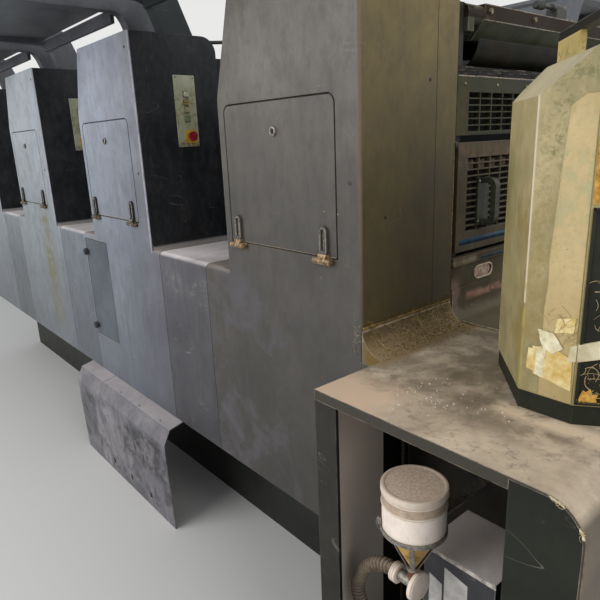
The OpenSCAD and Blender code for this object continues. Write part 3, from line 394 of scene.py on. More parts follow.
        # hinge straps are bare grey steel; the lugs, barrels and lock are plated and spotted with rust
        lugs_top, lock_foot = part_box("door_1")[0][2] + 0.031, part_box("door_1")[0][2] + 0.18
        proud = add(tree, "Math", {0: spot.outputs["Y"], 1: FACE_Y - 0.0006}, operation="LESS_THAN")
        below = add(tree, "Math", {0: spot.outputs["Z"], 1: lugs_top}, operation="LESS_THAN")
        above = add(tree, "Math", {0: spot.outputs["Z"], 1: lock_foot}, operation="GREATER_THAN")
        plated = add(tree, "Math", {0: below.outputs[0], 1: above.outputs[0]}, operation="MAXIMUM")
        rust = add(tree, "TexNoise", {"Vector": at, "Scale": 1000 / 11, "Detail": 6.0})
        spotted = add(tree, "ValToRGB", {"Fac": rust.outputs["Fac"]},
                      stops=[(level, linear(tint)) for level, tint in zip((0.36, 0.5, 0.66), plating[1:])])
        steel = add(tree, "Mix", {"Factor": plated.outputs[0], "A": linear(plating[0]),
                                  "B": spotted.outputs["Color"]}, data_type="RGBA")
        colour = add(tree, "Mix", {"Factor": proud.outputs[0], "A": colour, "B": steel.outputs["Result"]},
                     data_type="RGBA").outputs["Result"]
        metal = add(tree, "Math", {0: proud.outputs[0], 1: 0.4}, operation="MULTIPLY")
        tree.links.new(metal.outputs[0], shader.inputs["Metallic"])
    tree.links.new(colour, shader.inputs["Base Color"])
    # buckled sheet, waves 260 mm long, under the orange peel of the coat, drawn at 2.4 mm so that it shows
    waves = add(tree, "TexNoise", {"Vector": at, "Scale": 1000 / 260, "Detail": 1.0})
    buckled = add(tree, "Bump", {"Height": waves.outputs["Fac"], "Normal": rounded.outputs["Normal"],
                                 "Strength": 0.35, "Distance": 0.012})
    peel = add(tree, "TexNoise", {"Vector": at, "Scale": 1000 / 2.4, "Detail": 2.0})
    peeled = add(tree, "Bump", {"Height": peel.outputs["Fac"], "Normal": buckled.outputs["Normal"],
                                "Strength": 0.12, "Distance": 0.001})
    tree.links.new(peeled.outputs["Normal"], shader.inputs["Normal"])
    satin = add(tree, "MapRange", {"Value": clouds.outputs["Fac"], "From Min": 0.35, "From Max": 0.65,
                                   "To Min": roughness - 0.06, "To Max": roughness + 0.12})
    tree.links.new(satin.outputs[0], shader.inputs["Roughness"])
    return material


def dress(names, material):
    for name in names:
        cad[name].data.materials.clear()
        cad[name].data.materials.append(material)


UNIT_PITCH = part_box("door_1")[0][0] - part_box("door_2")[0][0]
UNITS = (1, 2, 3, 4)
COVER_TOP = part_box("tower_1")[1][2]


def unit_edge(k):
    return PRESS_EDGE - (k - 1) * UNIT_PITCH


# paler and bluer towards the far end, darker and warmer by the delivery; the far end's pale blue is partly a
# painted reflection of the sky at a grazing angle
COAT_AND_PAINTED_REFLECTION_ALONG = [(-2.6, "#a4aab0"), (-1.0, "#9fa6ab"), (0.3, "#8e95a3"), (0.85, "#67646b"),
                    (1.32, "#5a575b")]
# painted light and shade by height: the coat's colour is multiplied by these levels, darker low on the sheets
# and a little brighter at the top, as light from above falls
PAINTED_SHADE_UP_THE_COVERS = [(0.6, 0.40), (1.0, 0.50), (1.65, 0.80), (COVER_TOP, 1.10)]
PAINTED_SHADE_UP_THE_NEAR_COVER = [(0.6, 0.28), (0.9, 0.34), (1.35, 0.43), (1.65, 0.48), (1.87, 0.66), (2.05, 0.92),
                     (COVER_TOP, 1.02)]
# the side that faces the delivery end is nearly black: coat darkened by oil mist, and painted shade on that
# side
BLACKENED_AND_SHADED = ("X", 1, "#15181a", "#1f2326")
# tones of the hinge straps, then of the lugs and the lock from dark to light
DARK_PINS = ("#2b2927", "#1d1b19", "#4a443b", "#9a917c")
BRASSY_PINS = ("#4f4a45", "#4a3b2b", "#8a7355", "#b9a17c")
# near cover: sprayed enamel gone brownish grey and dull, its end face yellowed by powder, its corner rubbed
# bare, with a painted highlight along the rounding
NEAR_PATCHES = [
    ((PRESS_EDGE - 0.26, FACE_Y - 0.02, 1.30), (PRESS_EDGE + 0.02, FACE_Y + 0.02, None),
     "#6a6852", 0.12, 220, 0.6),
    ((None, None, None), (PRESS_EDGE - 0.22, None, 1.50), "#565259", 0.22, 220, 0.45),
    ((PRESS_EDGE - 0.02, None, 1.2), (None, None, 1.75), "#3d3320", 0.30, 160, 0.5),
    ((PRESS_EDGE - 0.20, None, 1.34), (PRESS_EDGE - 0.13, None, 1.44), "#a39b90", 0.02, 14, 0.15),
    ((PRESS_EDGE - 0.045, None, 1.18), (PRESS_EDGE + 0.001, None, 1.36), "#b5a27f", 0.03, 12, 0.25)]
near_enamel = enamel("near_cover_enamel", "#6c6863", "#7e7972", "#332f2d",
                     faces=[("X", 1, "#665a3a", "#7d6f4a")], streaks=(40, 300, 0.3), scuffs=0.15,
                     tone=PAINTED_SHADE_UP_THE_NEAR_COVER, plating=BRASSY_PINS, corner=("#6a5a49", 1.25, 1.65),
                     edge="#5f5a54", specks=("#cfc6b8", 3.0, 0.02), patches=NEAR_PATCHES)
# covers beyond it: cool satin grey, with one rusty run and one scraped spot; the pale line down each corner
# is rubbed paint and a painted highlight
COVER_PATCHES = [((-0.95, None, 0.62), (-0.68, None, 1.48), "#6f6848", 0.09, 120, 0.6),
                 ((0.02, None, 1.36), (0.25, None, 1.50), "#cfd2d4", 0.03, 14, 0.12)]
cover_enamel = enamel("cover_enamel", COAT_AND_PAINTED_REFLECTION_ALONG, "#dfe3e8", "#4c4a4d", faces=[BLACKENED_AND_SHADED],
                      tone=PAINTED_SHADE_UP_THE_COVERS, streaks=(34, 260, 0.3), plating=DARK_PINS,
                      corner=("#a6a3ab", 0.9, 1.5), edge="#8d8c90", patches=COVER_PATCHES)
# sheets between the towers: the same coat with darker grime, painted shade darkening them low on the skirt,
# and dust nearly white on the ledge, partly painted light on the ledge top
LEDGE_STAIN = ((unit_edge(2) + 0.10, None, 1.18), (unit_edge(1) - 0.70, None, 1.31), "#a39c8a", 0.05, 60, 0.3)
recess_enamel = enamel("recess_cover_enamel", COAT_AND_PAINTED_REFLECTION_ALONG, "#dfe3e8", "#37343a",
                       tone=[(0.6, 0.31), (1.0, 0.38), (1.4, 0.56)], edge="#a8a0a0", streaks=(34, 240, 0.5),
                       scuffs=0.5, dust="#eee4e1", dusty=0.97, patches=[LEDGE_STAIN])
# hatches: an even slate grey with rubbed edges
hatch_enamel = enamel("hatch_enamel", "#464c53", "#5c626a", "#3f4348", edge="#8e929a")
# operator side: the covers' coat without its stains
operator_enamel = enamel("operator_cover_enamel", COAT_AND_PAINTED_REFLECTION_ALONG, "#dfe3e8", "#4a4b4e", faces=[BLACKENED_AND_SHADED],
                         tone=PAINTED_SHADE_UP_THE_COVERS)
dress(["tower_1", "door_1"], near_enamel)
dress(["tower_2", "door_2", "tower_3", "door_3", "tower_4", "fixed_doors"], cover_enamel)
dress(["recess_covers"], recess_enamel)
dress(["hatch_2", "hatch_4"], hatch_enamel)
dress(["far_towers"], operator_enamel)


# Cover screws: blackened countersunk screws in the towers' fronts near the recess corner, and
# empty screw holes, 9 mm across, in the recess faces, drawn as thin near-black discs of painted shade.
def seat(at, facing, up=(0, 0, 1)):
    """Placement whose own z points along facing and whose own y is as near to up as it can be."""
    out = Vector(facing).normalized()
    right = Vector(up).cross(out).normalized()
    return Matrix.Translation(at) @ Matrix((right, out.cross(right), out)).transposed().to_4x4()


def lathe(shape, profile, place, sides=24, hollow=False):
    """Turned form: profile is (radius, height) pairs along the placement's z. Its two ends are closed, or
    joined to each other where it is a hollow ring."""
    rings = []
    for r, h in profile:
        turns = sides if r > 0 else 1
        rings.append([shape.verts.new(place @ Vector((r * math.cos(2 * math.pi * k / sides),
                                                      r * math.sin(2 * math.pi * k / sides), h)))
                      for k in range(turns)])
    for low, high in zip(rings, rings[1:] + rings[:1] if hollow else rings[1:]):
        for k in range(sides):
            corners = [low[k % len(low)], low[(k + 1) % len(low)], high[(k + 1) % len(high)],
                       high[k % len(high)]]
            if len(set(corners)) > 2:
                shape.faces.new(list(dict.fromkeys(corners)))
    for ring in () if hollow else (rings[0], rings[-1]):
        if len(ring) > 1:
            shape.faces.new(ring)


def slab(shape, outline, depth, place, soften=0.0):
    """Flat plate: the outline's (x, y) points pushed depth along the placement's z, edges softened."""
    low = [shape.verts.new(place @ Vector((x, y, 0))) for x, y in outline]
    high = [shape.verts.new(place @ Vector((x, y, depth))) for x, y in outline]
    faces = [shape.faces.new(low[::-1]), shape.faces.new(high)]
    for k in range(len(outline)):
        j = (k + 1) % len(outline)
        faces.append(shape.faces.new((low[k], low[j], high[j], high[k])))
    if soften:
        edges = {edge for face in faces for edge in face.edges}
        bmesh.ops.bevel(shape, geom=list(edges), offset=soften, segments=2, affect="EDGES", profile=0.6)


def rounded_rect(w, h, r, steps=4):
    """Outline of a rectangle centred on the origin, with round corners."""
    points = []
    for cx, cy, start in ((w / 2 - r, h / 2 - r, 0), (r - w / 2, h / 2 - r, 90),
                          (r - w / 2, r - h / 2, 180), (w / 2 - r, r - h / 2, 270)):
        for i in range(steps + 1):
            a = math.radians(start + 90 * i / steps)
            points.append((cx + r * math.cos(a), cy + r * math.sin(a)))
    return points


def rect(left, low, right, high):
    """Outline of a rectangle between two corners."""
    return [(left, low), (right, low), (right, high), (left, high)]


def disc(shape, radius, depth, place, sides=16):
    """Thin round plate on the placement's xy plane."""
    lathe(shape, [(radius, 0.0), (radius, depth), (0.0, depth)], place, sides)


TO_AISLE, TO_DELIVERY = (0, -1, 0), (1, 0, 0)
# zinc-plated steel gives a soft grey shine with a fine spangle
zinc = speckled("zinc_plated_steel", "#6f6c66", "#a39f98", 6, Metallic=0.8, Roughness=0.42)
# oily dirt in holes and slots: near black, without shine; the empty screw holes are only discs of it, painted
# shade for the holes
hole_black = speckled("hole_shade_and_oil_black", "#0c0c0c", "#1a1918", 4, Roughness=0.8)
screws, holes = bmesh.new(), bmesh.new()
for k in UNITS:
    for inset, z in ((0.038, COVER_TOP - 0.06), (0.040, 1.700)):
        lathe(screws, [(0.0065, 0.0), (0.0065, 0.0008), (0.0045, 0.0016), (0.002, 0.0016), (0.0, 0.0008)],
              seat((unit_edge(k) - inset, FACE_Y, z), TO_AISLE), sides=16)
for k in UNITS[1:]:
    for down in (0.12, 0.16):
        disc(holes, 0.0045, 0.0004, seat((unit_edge(k), FACE_Y + 0.385, COVER_TOP - down), TO_DELIVERY))
for y, z in ((FACE_Y + 0.29, 1.966), (FACE_Y + 0.10, 1.597)):
    disc(holes, 0.005, 0.0004, seat((unit_edge(1), y, z), TO_DELIVERY))
# blackened steel: nearly black, with grey where the driver has slipped
blackened = speckled("blackened_screw_steel", "#1c1c1d", "#4a4744", 5, Metallic=0.5, Roughness=0.5)
new_piece("cover_screws", screws, blackened)
new_piece("cover_screw_holes", holes, hole_black)

# Cover seam: the near cover is folded from two sheets that meet in one upright seam, 2 mm
# wide, packed with dirt; a rusty line of filler runs beside it where the guards' frame starts.
SEAM_Y, SEAM_W = FACE_Y + 0.322, 0.002
seam = bmesh.new()
slab(seam, rect(-SEAM_W / 2, 1.30, SEAM_W / 2, COVER_TOP - 0.02), 0.0003,
     seat((unit_edge(1), SEAM_Y, 0), TO_DELIVERY))
new_piece("cover_seam", seam, hole_black)
filler = bmesh.new()
wander = random.Random(3)
FILLER_Y, FILLER_FOOT = FACE_Y + 0.4165, 1.44
filler_line = [Vector((unit_edge(1) + 0.0006, FILLER_Y + wander.uniform(-0.0008, 0.0008),
                       FILLER_FOOT + 0.02 * i)) for i in range(17)]
tube(filler, filler_line, lambda s: 0.0007 + 0.0009 * abs(math.sin(37 * s) * math.sin(11 * s)), sides=6)
# body putty that rust has bled into, from brown to a dirty yellow
filler_putty = speckled("rust_stained_putty", "#5a3f22", "#b3955c", 9, Roughness=0.75)
new_piece("cover_filler_line", filler, filler_putty)

# Door hinges: each strap is a pressed channel with a ridge down its groove; the pin has a
# riveted washer at each end. The cam lock is a nickel-plated rim round a slotted plug.
def straight(start, end, parts):
    """Points along a straight line that is cut in that many parts."""
    return [Vector([a + (b - a) * i / parts for a, b in zip(start, end)]) for i in range(parts + 1)]


DOOR_LOW, DOOR_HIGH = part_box("door_1")
STRAP_INSET, PIN_DROP, PIN_OUT = 0.048, 0.012, 0.014
DOOR_FOOT = DOOR_LOW[2] + 0.022
RIDGE_Y, RIM_Y, STRAP_R = FACE_Y - 0.0055, FACE_Y - 0.0095, 0.0125
WASHER = [(0.0075, 0.0), (0.0075, 0.0015), (0.005, 0.0015), (0.005, 0.003), (0.0035, 0.0042), (0.0, 0.0042)]
# pressed strap steel: grey-brown, rubbed bright where hands pull the door
ridge_steel = speckled("rubbed_strap_steel", "#57534e", "#8f8880", 9, Metallic=0.4, Roughness=0.5)
# thin brass plating that rust comes through: dull gold over brown
pin_brass = speckled("rust_spotted_brass_plating", "#54402b", "#a88e66", 8, Metallic=0.5, Roughness=0.55)
# worn nickel plate: grey shine, dark in its pits
lock_nickel = speckled("worn_nickel_plating", "#35332f", "#aaa69e", 9, Metallic=0.6, Roughness=0.45)
# primer that shows where the coat has rubbed off the door's foot: flat tan
drip_tan = speckled("rubbed_edge_primer", "#6a5d4a", "#a8967a", 10, Roughness=0.6)
for k in UNITS:
    body = "press" if k == 4 else "door_leaf_%d" % k
    left, right = DOOR_LOW[0] - (k - 1) * UNIT_PITCH, DOOR_HIGH[0] - (k - 1) * UNIT_PITCH
    ridges, washers, rims, plugs, drip = (bmesh.new() for _ in range(5))
    for x in (left + STRAP_INSET, right - STRAP_INSET):
        tube(ridges, straight((x, RIDGE_Y, DOOR_FOOT + 0.021), (x, RIDGE_Y, DOOR_FOOT + 0.074), 6), 0.0022,
             sides=8)
        arch = [Vector((x + STRAP_R * math.cos(a), RIM_Y, DOOR_FOOT + 0.073 + STRAP_R * math.sin(a)))
                for a in (math.pi * i / 10 for i in range(11))]
        right_foot, left_foot = (Vector((x + way * STRAP_R, RIM_Y, DOOR_FOOT + 0.012)) for way in (1, -1))
        tube(ridges, [right_foot, *arch, left_foot], 0.0028, sides=8)
        for end in (-1, 1):
            lathe(washers, WASHER, seat((x + end * 0.0352, FACE_Y - PIN_OUT, DOOR_FOOT - PIN_DROP),
                                        (end, 0, 0)), sides=20)
    lock_at = ((left + right) / 2, FACE_Y - 0.0058, DOOR_HIGH[2] - 0.088)
    lathe(rims, [(0.0145, 0.0), (0.0145, 0.0012), (0.0128, 0.0026), (0.0105, 0.0026), (0.0095, 0.0012),
                 (0.0, 0.0012)], seat(lock_at, TO_AISLE), sides=32)
    plug_seat = seat((lock_at[0], lock_at[1] - 0.0012, lock_at[2]), TO_AISLE)
    disc(plugs, 0.0084, 0.0003, plug_seat, sides=24)
    slab(plugs, rounded_rect(0.0035, 0.0135, 0.001), 0.0006, plug_seat)
    slab(drip, rect(left + 0.004, 0, right - 0.004, 0.0013), 0.0005,
         seat((0, FACE_Y, DOOR_FOOT + 0.0005), TO_AISLE))
    new_piece("strap_ridges_%d" % k, ridges, ridge_steel, body)
    new_piece("pin_washers_%d" % k, washers, pin_brass)
    new_piece("lock_rim_%d" % k, rims, lock_nickel, body)
    new_piece("lock_slot_%d" % k, plugs, hole_black, body)
    new_piece("door_drip_edge_%d" % k, drip, drip_tan, body)

# Hatch knobs: fluted black phenolic knobs, moulded, pushed on the quarter-turn studs.
KNOB_R, FLUTES, FLUTE_DEEP, KNOB_HIGH = 0.0178, 9, 0.0011, 0.0205
lobes = []
for i in range(72):
    a = 2 * math.pi * i / 72
    r = KNOB_R + FLUTE_DEEP * math.cos(FLUTES * a)
    lobes.append((r * math.cos(a), r * math.sin(a)))
# phenolic gives a soft black shine, greyed by dust
phenolic = speckled("moulded_black_phenolic", "#17181a", "#35363a", 14, Roughness=0.42)
for k in (2, 4):
    low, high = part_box("hatch_%d" % k)
    knobs = bmesh.new()
    for z in (low[2] + 0.050, high[2] - 0.070):
        at_knob = (low[0] + 0.018, FACE_Y - 0.003, z)
        slab(knobs, lobes, KNOB_HIGH, seat(at_knob, TO_AISLE), soften=0.0016)
        slab(knobs, rounded_rect(0.026, 0.005, 0.002), 0.003,
             seat((at_knob[0], at_knob[1] - KNOB_HIGH, z), TO_AISLE), soften=0.0008)
    new_piece("hatch_knobs_%d" % k, knobs, phenolic, "hatch_leaf_%d" % k)

# Control plates: 5 mm painted plate screwed to the recess face of each tower, grey-green and
# stained, with square push buttons and a yellow field round the red mushroom button.
# enamelled plate: pale grey-green, with brown finger stains between and below the buttons
plate_enamel = enamel("control_plate_enamel", "#a6a98e", "#c4c6ad", "#857f5c", scuffs=0.1, edge="#d8d6c4",
                      dust="#a09a84", specks=("#6f5420", 6.0, 0.3),
                      patches=[((None, None, 1.88), (None, None, 2.07), "#7a642c", 0.03, 26, 0.42),
                               ((None, None, 1.79), (None, None, 1.835), "#6f4f22", 0.012, 16, 0.6)])
dress(["control_plates"], plate_enamel)
# moulded plastic: dark red, with the shine of use
stop_plastic = speckled("moulded_red_plastic", "#6f141a", "#a51f28", 22, 0.1, Roughness=0.35)
dress(["stop_buttons"], stop_plastic)
# yellow printed on sheet metal, dulled; the bezels are moulded and browned by oil
field_yellow = speckled("printed_yellow_plate", "#a88a26", "#d0ae3c", 25, 0.1, Roughness=0.5)
bezel_black = speckled("moulded_bezel_brown", "#4a4330", "#86805f", 15, 0.1, Roughness=0.5)
plate_low, plate_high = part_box("control_plates")
PLATE_Y = (plate_low[1] + plate_high[1]) / 2
STOP_Y, STOP_Z = FACE_Y + 0.252, plate_low[2] + 0.045
BUTTONS = [(0.120, "stained_green_plastic", "#5a6a4e", "#8a9478"),
           (0.158, "browned_white_plastic", "#8a7f5e", "#b9b08c"),
           (0.190, "browned_yellow_plastic", "#6f5f2e", "#a89552"),
           (0.225, "aged_white_plastic", "#a8a58e", "#d2cfba")]
bezels, fields, plate_screws = bmesh.new(), bmesh.new(), bmesh.new()
for k in (2, 3, 4):
    face = unit_edge(k) + 0.005
    for height, *_ in BUTTONS:
        slab(bezels, rounded_rect(0.027, 0.027, 0.003), 0.0050,
             seat((face, PLATE_Y, plate_low[2] + height), TO_DELIVERY), soften=0.001)
    slab(fields, rounded_rect(0.058, 0.058, 0.004), 0.0012, seat((face, STOP_Y, STOP_Z), TO_DELIVERY),
         soften=0.0004)
    for y in (plate_low[1] + 0.009, plate_high[1] - 0.009):
        for z in (plate_low[2] + 0.009, plate_high[2] - 0.009):
            lathe(plate_screws, [(0.0042, 0.0), (0.0042, 0.001), (0.003, 0.002), (0.0, 0.0022)],
                  seat((face, y, z), TO_DELIVERY), sides=14)
new_piece("button_bezels", bezels, bezel_black)
new_piece("stop_fields", fields, field_yellow)
new_piece("control_plate_screws", plate_screws, zinc)
for number, (height, plastic_name, low_tone, high_tone) in enumerate(BUTTONS, 1):
    caps = bmesh.new()
    for k in (2, 3, 4):
        slab(caps, rounded_rect(0.0205, 0.0205, 0.002), 0.0045,
             seat((unit_edge(k) + 0.0112, PLATE_Y, plate_low[2] + height), TO_DELIVERY), soften=0.0011)
    new_piece("button_caps_%d" % number, caps,
              speckled(plastic_name, low_tone, high_tone, 18, 0.1, Roughness=0.4))

# Awnings: welded box-section arms with a sheet roof over each recess, sprayed dark grey-brown,
# greasy underneath and dusty above. Each arm is bolted through its foot with two hex bolts.
awning_enamel = enamel("awning_enamel", "#44464b", "#5f6268", "#2d2c2c", streaks=(18, 600, 0.25),
                       scuffs=0.2, roughness=0.38, edge="#77716b", dust="#80776d", gloss=0.5)
# the nearest awning takes the same coat, much darker
dark_awning_enamel = enamel("darker_awning_copy_enamel", "#1f2425", "#30373a", "#161818",
                            streaks=(18, 600, 0.25), scuffs=0.2, roughness=0.4, edge="#4a4a48",
                            dust="#5f5a52")
dress(["awning_2", "awning_3", "far_awnings"], awning_enamel)
dress(["awning_1"], dark_awning_enamel)


def hex_bolt(shape, place, across, height):
    """Hexagon head with its round washer, seated on the placement's xy plane."""
    r = across / math.sqrt(3)
    lathe(shape, [(across * 0.62, 0.0), (across * 0.62, 0.0016), (0.0, 0.0016)], place, sides=24)
    slab(shape, [(r * math.cos(math.radians(60 * i)), r * math.sin(math.radians(60 * i)))
                 for i in range(6)], height, place @ Matrix.Translation((0, 0, 0.0016)),
         soften=across * 0.05)


arm_bolts = bmesh.new()
for node in ("awning_1", "awning_2", "awning_3"):
    low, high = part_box(node)
    for x, facing in ((high[0], 1), (low[0], -1)):
        for along_y in (FACE_Y + 0.255, FACE_Y + 0.300):
            for side in (1, -1):
                hex_bolt(arm_bolts, seat((x, side * along_y, COVER_TOP + 0.022), (facing, 0, 0)), 0.017,
                         0.0065)
new_piece("awning_arm_bolts", arm_bolts, zinc)

# Frames, cores, bed and decks: cast and folded parts inside the press, oily near-black green.
frame_enamel = enamel("oily_frame_enamel", "#181a16", "#292c25", "#121310", scuffs=0.1, edge="#33352e",
                      dust="#4a463d")
core_enamel = enamel("oily_core_enamel", "#141517", "#222427", "#0f1011", scuffs=0.05, edge="#1f2022",
                     dust="#22211f", gloss=0.15)
deck_enamel = enamel("deck_plate_enamel", "#3b3b37", "#514f49", "#2d2d2a", edge="#514f49", dust="#5f584b")
dress(["side_frames", "bed_rails"], frame_enamel)
dress(["unit_cores"], core_enamel)
dress(["decks"], deck_enamel)

# Rollers: ground steel cylinder under each beam and rubber-covered ink rollers on top, turned
# lines round them, a film of oil. Behind the swinging guard lies one roller with pinkish ink.
# ground steel under an oil film: dark olive with fine lines round it, drawn 4.5 mm apart so that they show
roller_steel, tree, shader = new_material("oily_turned_steel", Metallic=0.2, Roughness=0.55)
at = add(tree, "TexCoord").outputs["Object"]
turned = add(tree, "Mapping", {"Vector": at, "Scale": (4.0, 1000 / 4.5, 4.0)})
rings = add(tree, "TexNoise", {"Vector": turned.outputs[0], "Scale": 1.0, "Detail": 3.0})
steel = add(tree, "ValToRGB", {"Fac": rings.outputs["Fac"]},
            stops=[(0.35, linear("#17160f")), (0.7, linear("#3d3924"))])
tree.links.new(steel.outputs["Color"], shader.inputs["Base Color"])
dress(["rollers"], roller_steel)
inked_roller = bmesh.new()
GUARD_LOW, GUARD_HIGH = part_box("swing_guard")
SHAFT_R, ROLLER_R, ROLLER_LONG = 0.006, 0.019, 1.06
lathe(inked_roller, [(0.0, 0.0), (SHAFT_R, 0.0), (SHAFT_R, 0.03), (ROLLER_R, 0.034),
                     (ROLLER_R, ROLLER_LONG - 0.034), (SHAFT_R, ROLLER_LONG - 0.03), (SHAFT_R, ROLLER_LONG),
                     (0.0, ROLLER_LONG)], seat((unit_edge(1) - 0.046, ROLLER_LONG / 2,
                                                GUARD_HIGH[2] - 0.075), TO_AISLE), sides=32)
# ink film on rubber: pinkish brown, half shiny
pink_ink = speckled("ink_film_on_rubber", "#6d5348", "#b59a8b", 30, Roughness=0.5)
new_piece("inked_roller", inked_roller, pink_ink)

# Guards: folded frames with welded wire mesh over the near face of each unit, in dusty olive-brown
# enamel, held by small pan-head screws along the top band. The beams above are greyer, their hems bare.
guard_enamel = enamel("guard_enamel", "#2f3024", "#454532", "#23221a", edge="#857c66", wear=0.5,
                      dust="#8f846f", gloss=0.15, patches=[((None, -0.62, None), (None, -0.50, None),
                                                            "#4a4026", 0.03, 30, 0.6)])
BEAM_LOW, BEAM_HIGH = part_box("guard_beams")
# the dark brown band over the top 45 mm, between the hems, is painted shade of the channel's recessed face;
# the other patch is a yellowish stain
BEAM_SHADE_AND_STAINS = [((None, None, BEAM_HIGH[2] - 0.045), (None, None, BEAM_HIGH[2] + 0.01), "#2c231b", 0.004,
                 60, 1.6), ((None, -0.45, BEAM_LOW[2]), (None, -0.38, BEAM_HIGH[2] + 0.02), "#665a2c", 0.02,
                            20, 0.3)]
beam_enamel = enamel("beam_enamel", "#3d4034", "#5a5c4c", "#2a2a20", edge="#b3a98c", wear=0.9, dust="#7a705a",
                     gloss=0.1, patches=BEAM_SHADE_AND_STAINS)
dress(["mesh_guards"], guard_enamel)
dress(["guard_beams"], beam_enamel)
guard_screws, beam_bolts = bmesh.new(), bmesh.new()
MESH_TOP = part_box("mesh_guards")[1][2]
for k in UNITS:
    for i in range(7):
        y = -0.54 + 0.18 * i
        lathe(guard_screws, [(0.0055, 0.0), (0.0055, 0.001), (0.004, 0.003), (0.0, 0.0036)],
              seat((unit_edge(k) - 0.005, y, MESH_TOP - 0.024), TO_DELIVERY), sides=16)
    for y in (-0.418, -0.150, 0.150, 0.418):
        hex_bolt(beam_bolts, seat((unit_edge(k) - 0.008, y, BEAM_HIGH[2] - 0.020), TO_DELIVERY), 0.015, 0.006)
# zinc plate under old grease: olive grey, half shiny
greasy_zinc = speckled("greasy_zinc_plating", "#4f4a38", "#9a9070", 6, Metallic=0.5, Roughness=0.5)
new_piece("guard_screws", guard_screws, greasy_zinc)
new_piece("beam_bolts", beam_bolts, greasy_zinc)

# Wiper strips: ink-soaked felt clamped on top of the upper guard, its lower edge frayed into
# tufts that hang 6 to 18 mm over the guard. Felt gives a flat black with paler dusty fibres.
felt, tree, shader = new_material("inked_felt", Roughness=0.95)
at = add(tree, "TexCoord").outputs["Object"]
tufts = add(tree, "Mapping", {"Vector": at, "Scale": (40.0, 1000 / 60, 1000 / 3)})
tuft_tone = add(tree, "TexNoise", {"Vector": tufts.outputs[0], "Scale": 1.0, "Detail": 2.0})
felt_colour = add(tree, "ValToRGB", {"Fac": tuft_tone.outputs["Fac"]},
                  stops=[(0.44, linear("#0d0c0b")), (0.60, linear("#262019")), (0.74, linear("#857a68"))])
felt_raised = add(tree, "Bump", {"Height": tuft_tone.outputs["Fac"], "Strength": 0.6, "Distance": 0.002})
tree.links.new(felt_colour.outputs["Color"], shader.inputs["Base Color"])
tree.links.new(felt_raised.outputs["Normal"], shader.inputs["Normal"])
dress(["wiper_strips"], felt)
frayed = bmesh.new()
fray = random.Random(11)
FELT_HALF = 0.575
for k in UNITS:
    face = unit_edge(k) - 0.0076
    for _ in range(60):
        y = fray.uniform(-FELT_HALF, FELT_HALF)
        top = MESH_TOP + fray.uniform(0.002, 0.020)
        reach, width = fray.uniform(0.006, 0.018), fray.uniform(0.0010, 0.002)
        lean, out = fray.uniform(-0.006, 0.006), fray.uniform(0.001, 0.004)
        root = [frayed.verts.new((face, y - width, top)), frayed.verts.new((face, y + width, top))]
        belly = frayed.verts.new((face + out, y, top - reach * 0.3))
        tip = frayed.verts.new((face + out * 0.7, y + lean, top - reach))
        for corners in ((root[0], root[1], belly), (root[0], belly, tip), (root[1], tip, belly),
                        (root[0], tip, root[1])):
            frayed.faces.new(corners)
new_piece("wiper_fray", frayed, felt, smooth=10)

# Guard hems and ink trays: the top of each upper guard and both edges of each beam are hemmed, the
# hems rubbed pale. Below the leaning plate a rolled sheet tray, dark with dried ink and painted shade, curves
# back into the unit.
hem_shape, trays = bmesh.new(), bmesh.new()
PLATE_FOOT, TRAY_R, GUARD_HALF, BEAM_HALF = BEAM_LOW[2], 0.085, 0.578, 0.444
for k in UNITS:
    for out, half, z, r in ((0.0052, GUARD_HALF, MESH_TOP - 0.0022, 0.0024),
                            (0.0078, BEAM_HALF, BEAM_HIGH[2] - 0.0012, 0.0017),
                            (0.0078, BEAM_HALF, BEAM_HIGH[2] - 0.0450, 0.0017)):
        tube(hem_shape, straight((unit_edge(k) - out, -half, z), (unit_edge(k) - out, half, z), 8), r,
             sides=8)
    arc = [(unit_edge(k) - 0.012 - TRAY_R * (1 - math.cos(a)), PLATE_FOOT - 0.001 - TRAY_R * math.sin(a))
           for a in (math.radians(10 * i) for i in range(8))]
    rows = [[trays.verts.new((x, y, z)) for y in (-0.470, 0.470)] for x, z in arc]
    for low, high in zip(rows, rows[1:]):
        trays.faces.new((low[0], low[1], high[1], high[0]))
trays.normal_update()
bmesh.ops.solidify(trays, geom=list(trays.faces), thickness=0.0015)
new_piece("guard_hems", hem_shape, speckled("rubbed_hem_enamel", "#5d5648", "#a3978a", 12, Roughness=0.6))
# dried ink on sheet: black-brown with a low sheen, made near black as painted shade where the tray recedes
# under the plate
tray_enamel = enamel("shaded_inked_tray_enamel", "#10110c", "#1e1d14", "#0c0b08", scuffs=0.1, gloss=0.15,
                     roughness=0.5, edge="#4a4636", dust="#1d1b14",
                     patches=[((None, -0.47, None), (None, 0.47, None), "#2c2215", 0.01, 120, 0.35)])
new_piece("ink_trays", trays, tray_enamel, smooth=60)

# Swinging guard: brown-black enamelled frame on two steel pins, with a blue stripe taped along
# its lower bar, and a moulded bow handle screwed on.
swing_enamel = enamel("swing_guard_enamel", "#443d2f", "#645b42", "#332b20", edge="#6f6955", wear=0.6,
                      dust="#77736b", gloss=0.15, patches=[((None, -0.62, 1.70), (None, 0.62, 1.80),
                                                            "#6a5140", 0.03, 40, 0.5)])
dress(["swing_guard"], swing_enamel)
dress(["guard_pins"], zinc)
# glass-filled nylon: black gone olive with grease, low shine
handle_nylon = speckled("moulded_black_nylon", "#171811", "#3a3b2c", 22, Roughness=0.5)
dress(["guard_handle"], handle_nylon)
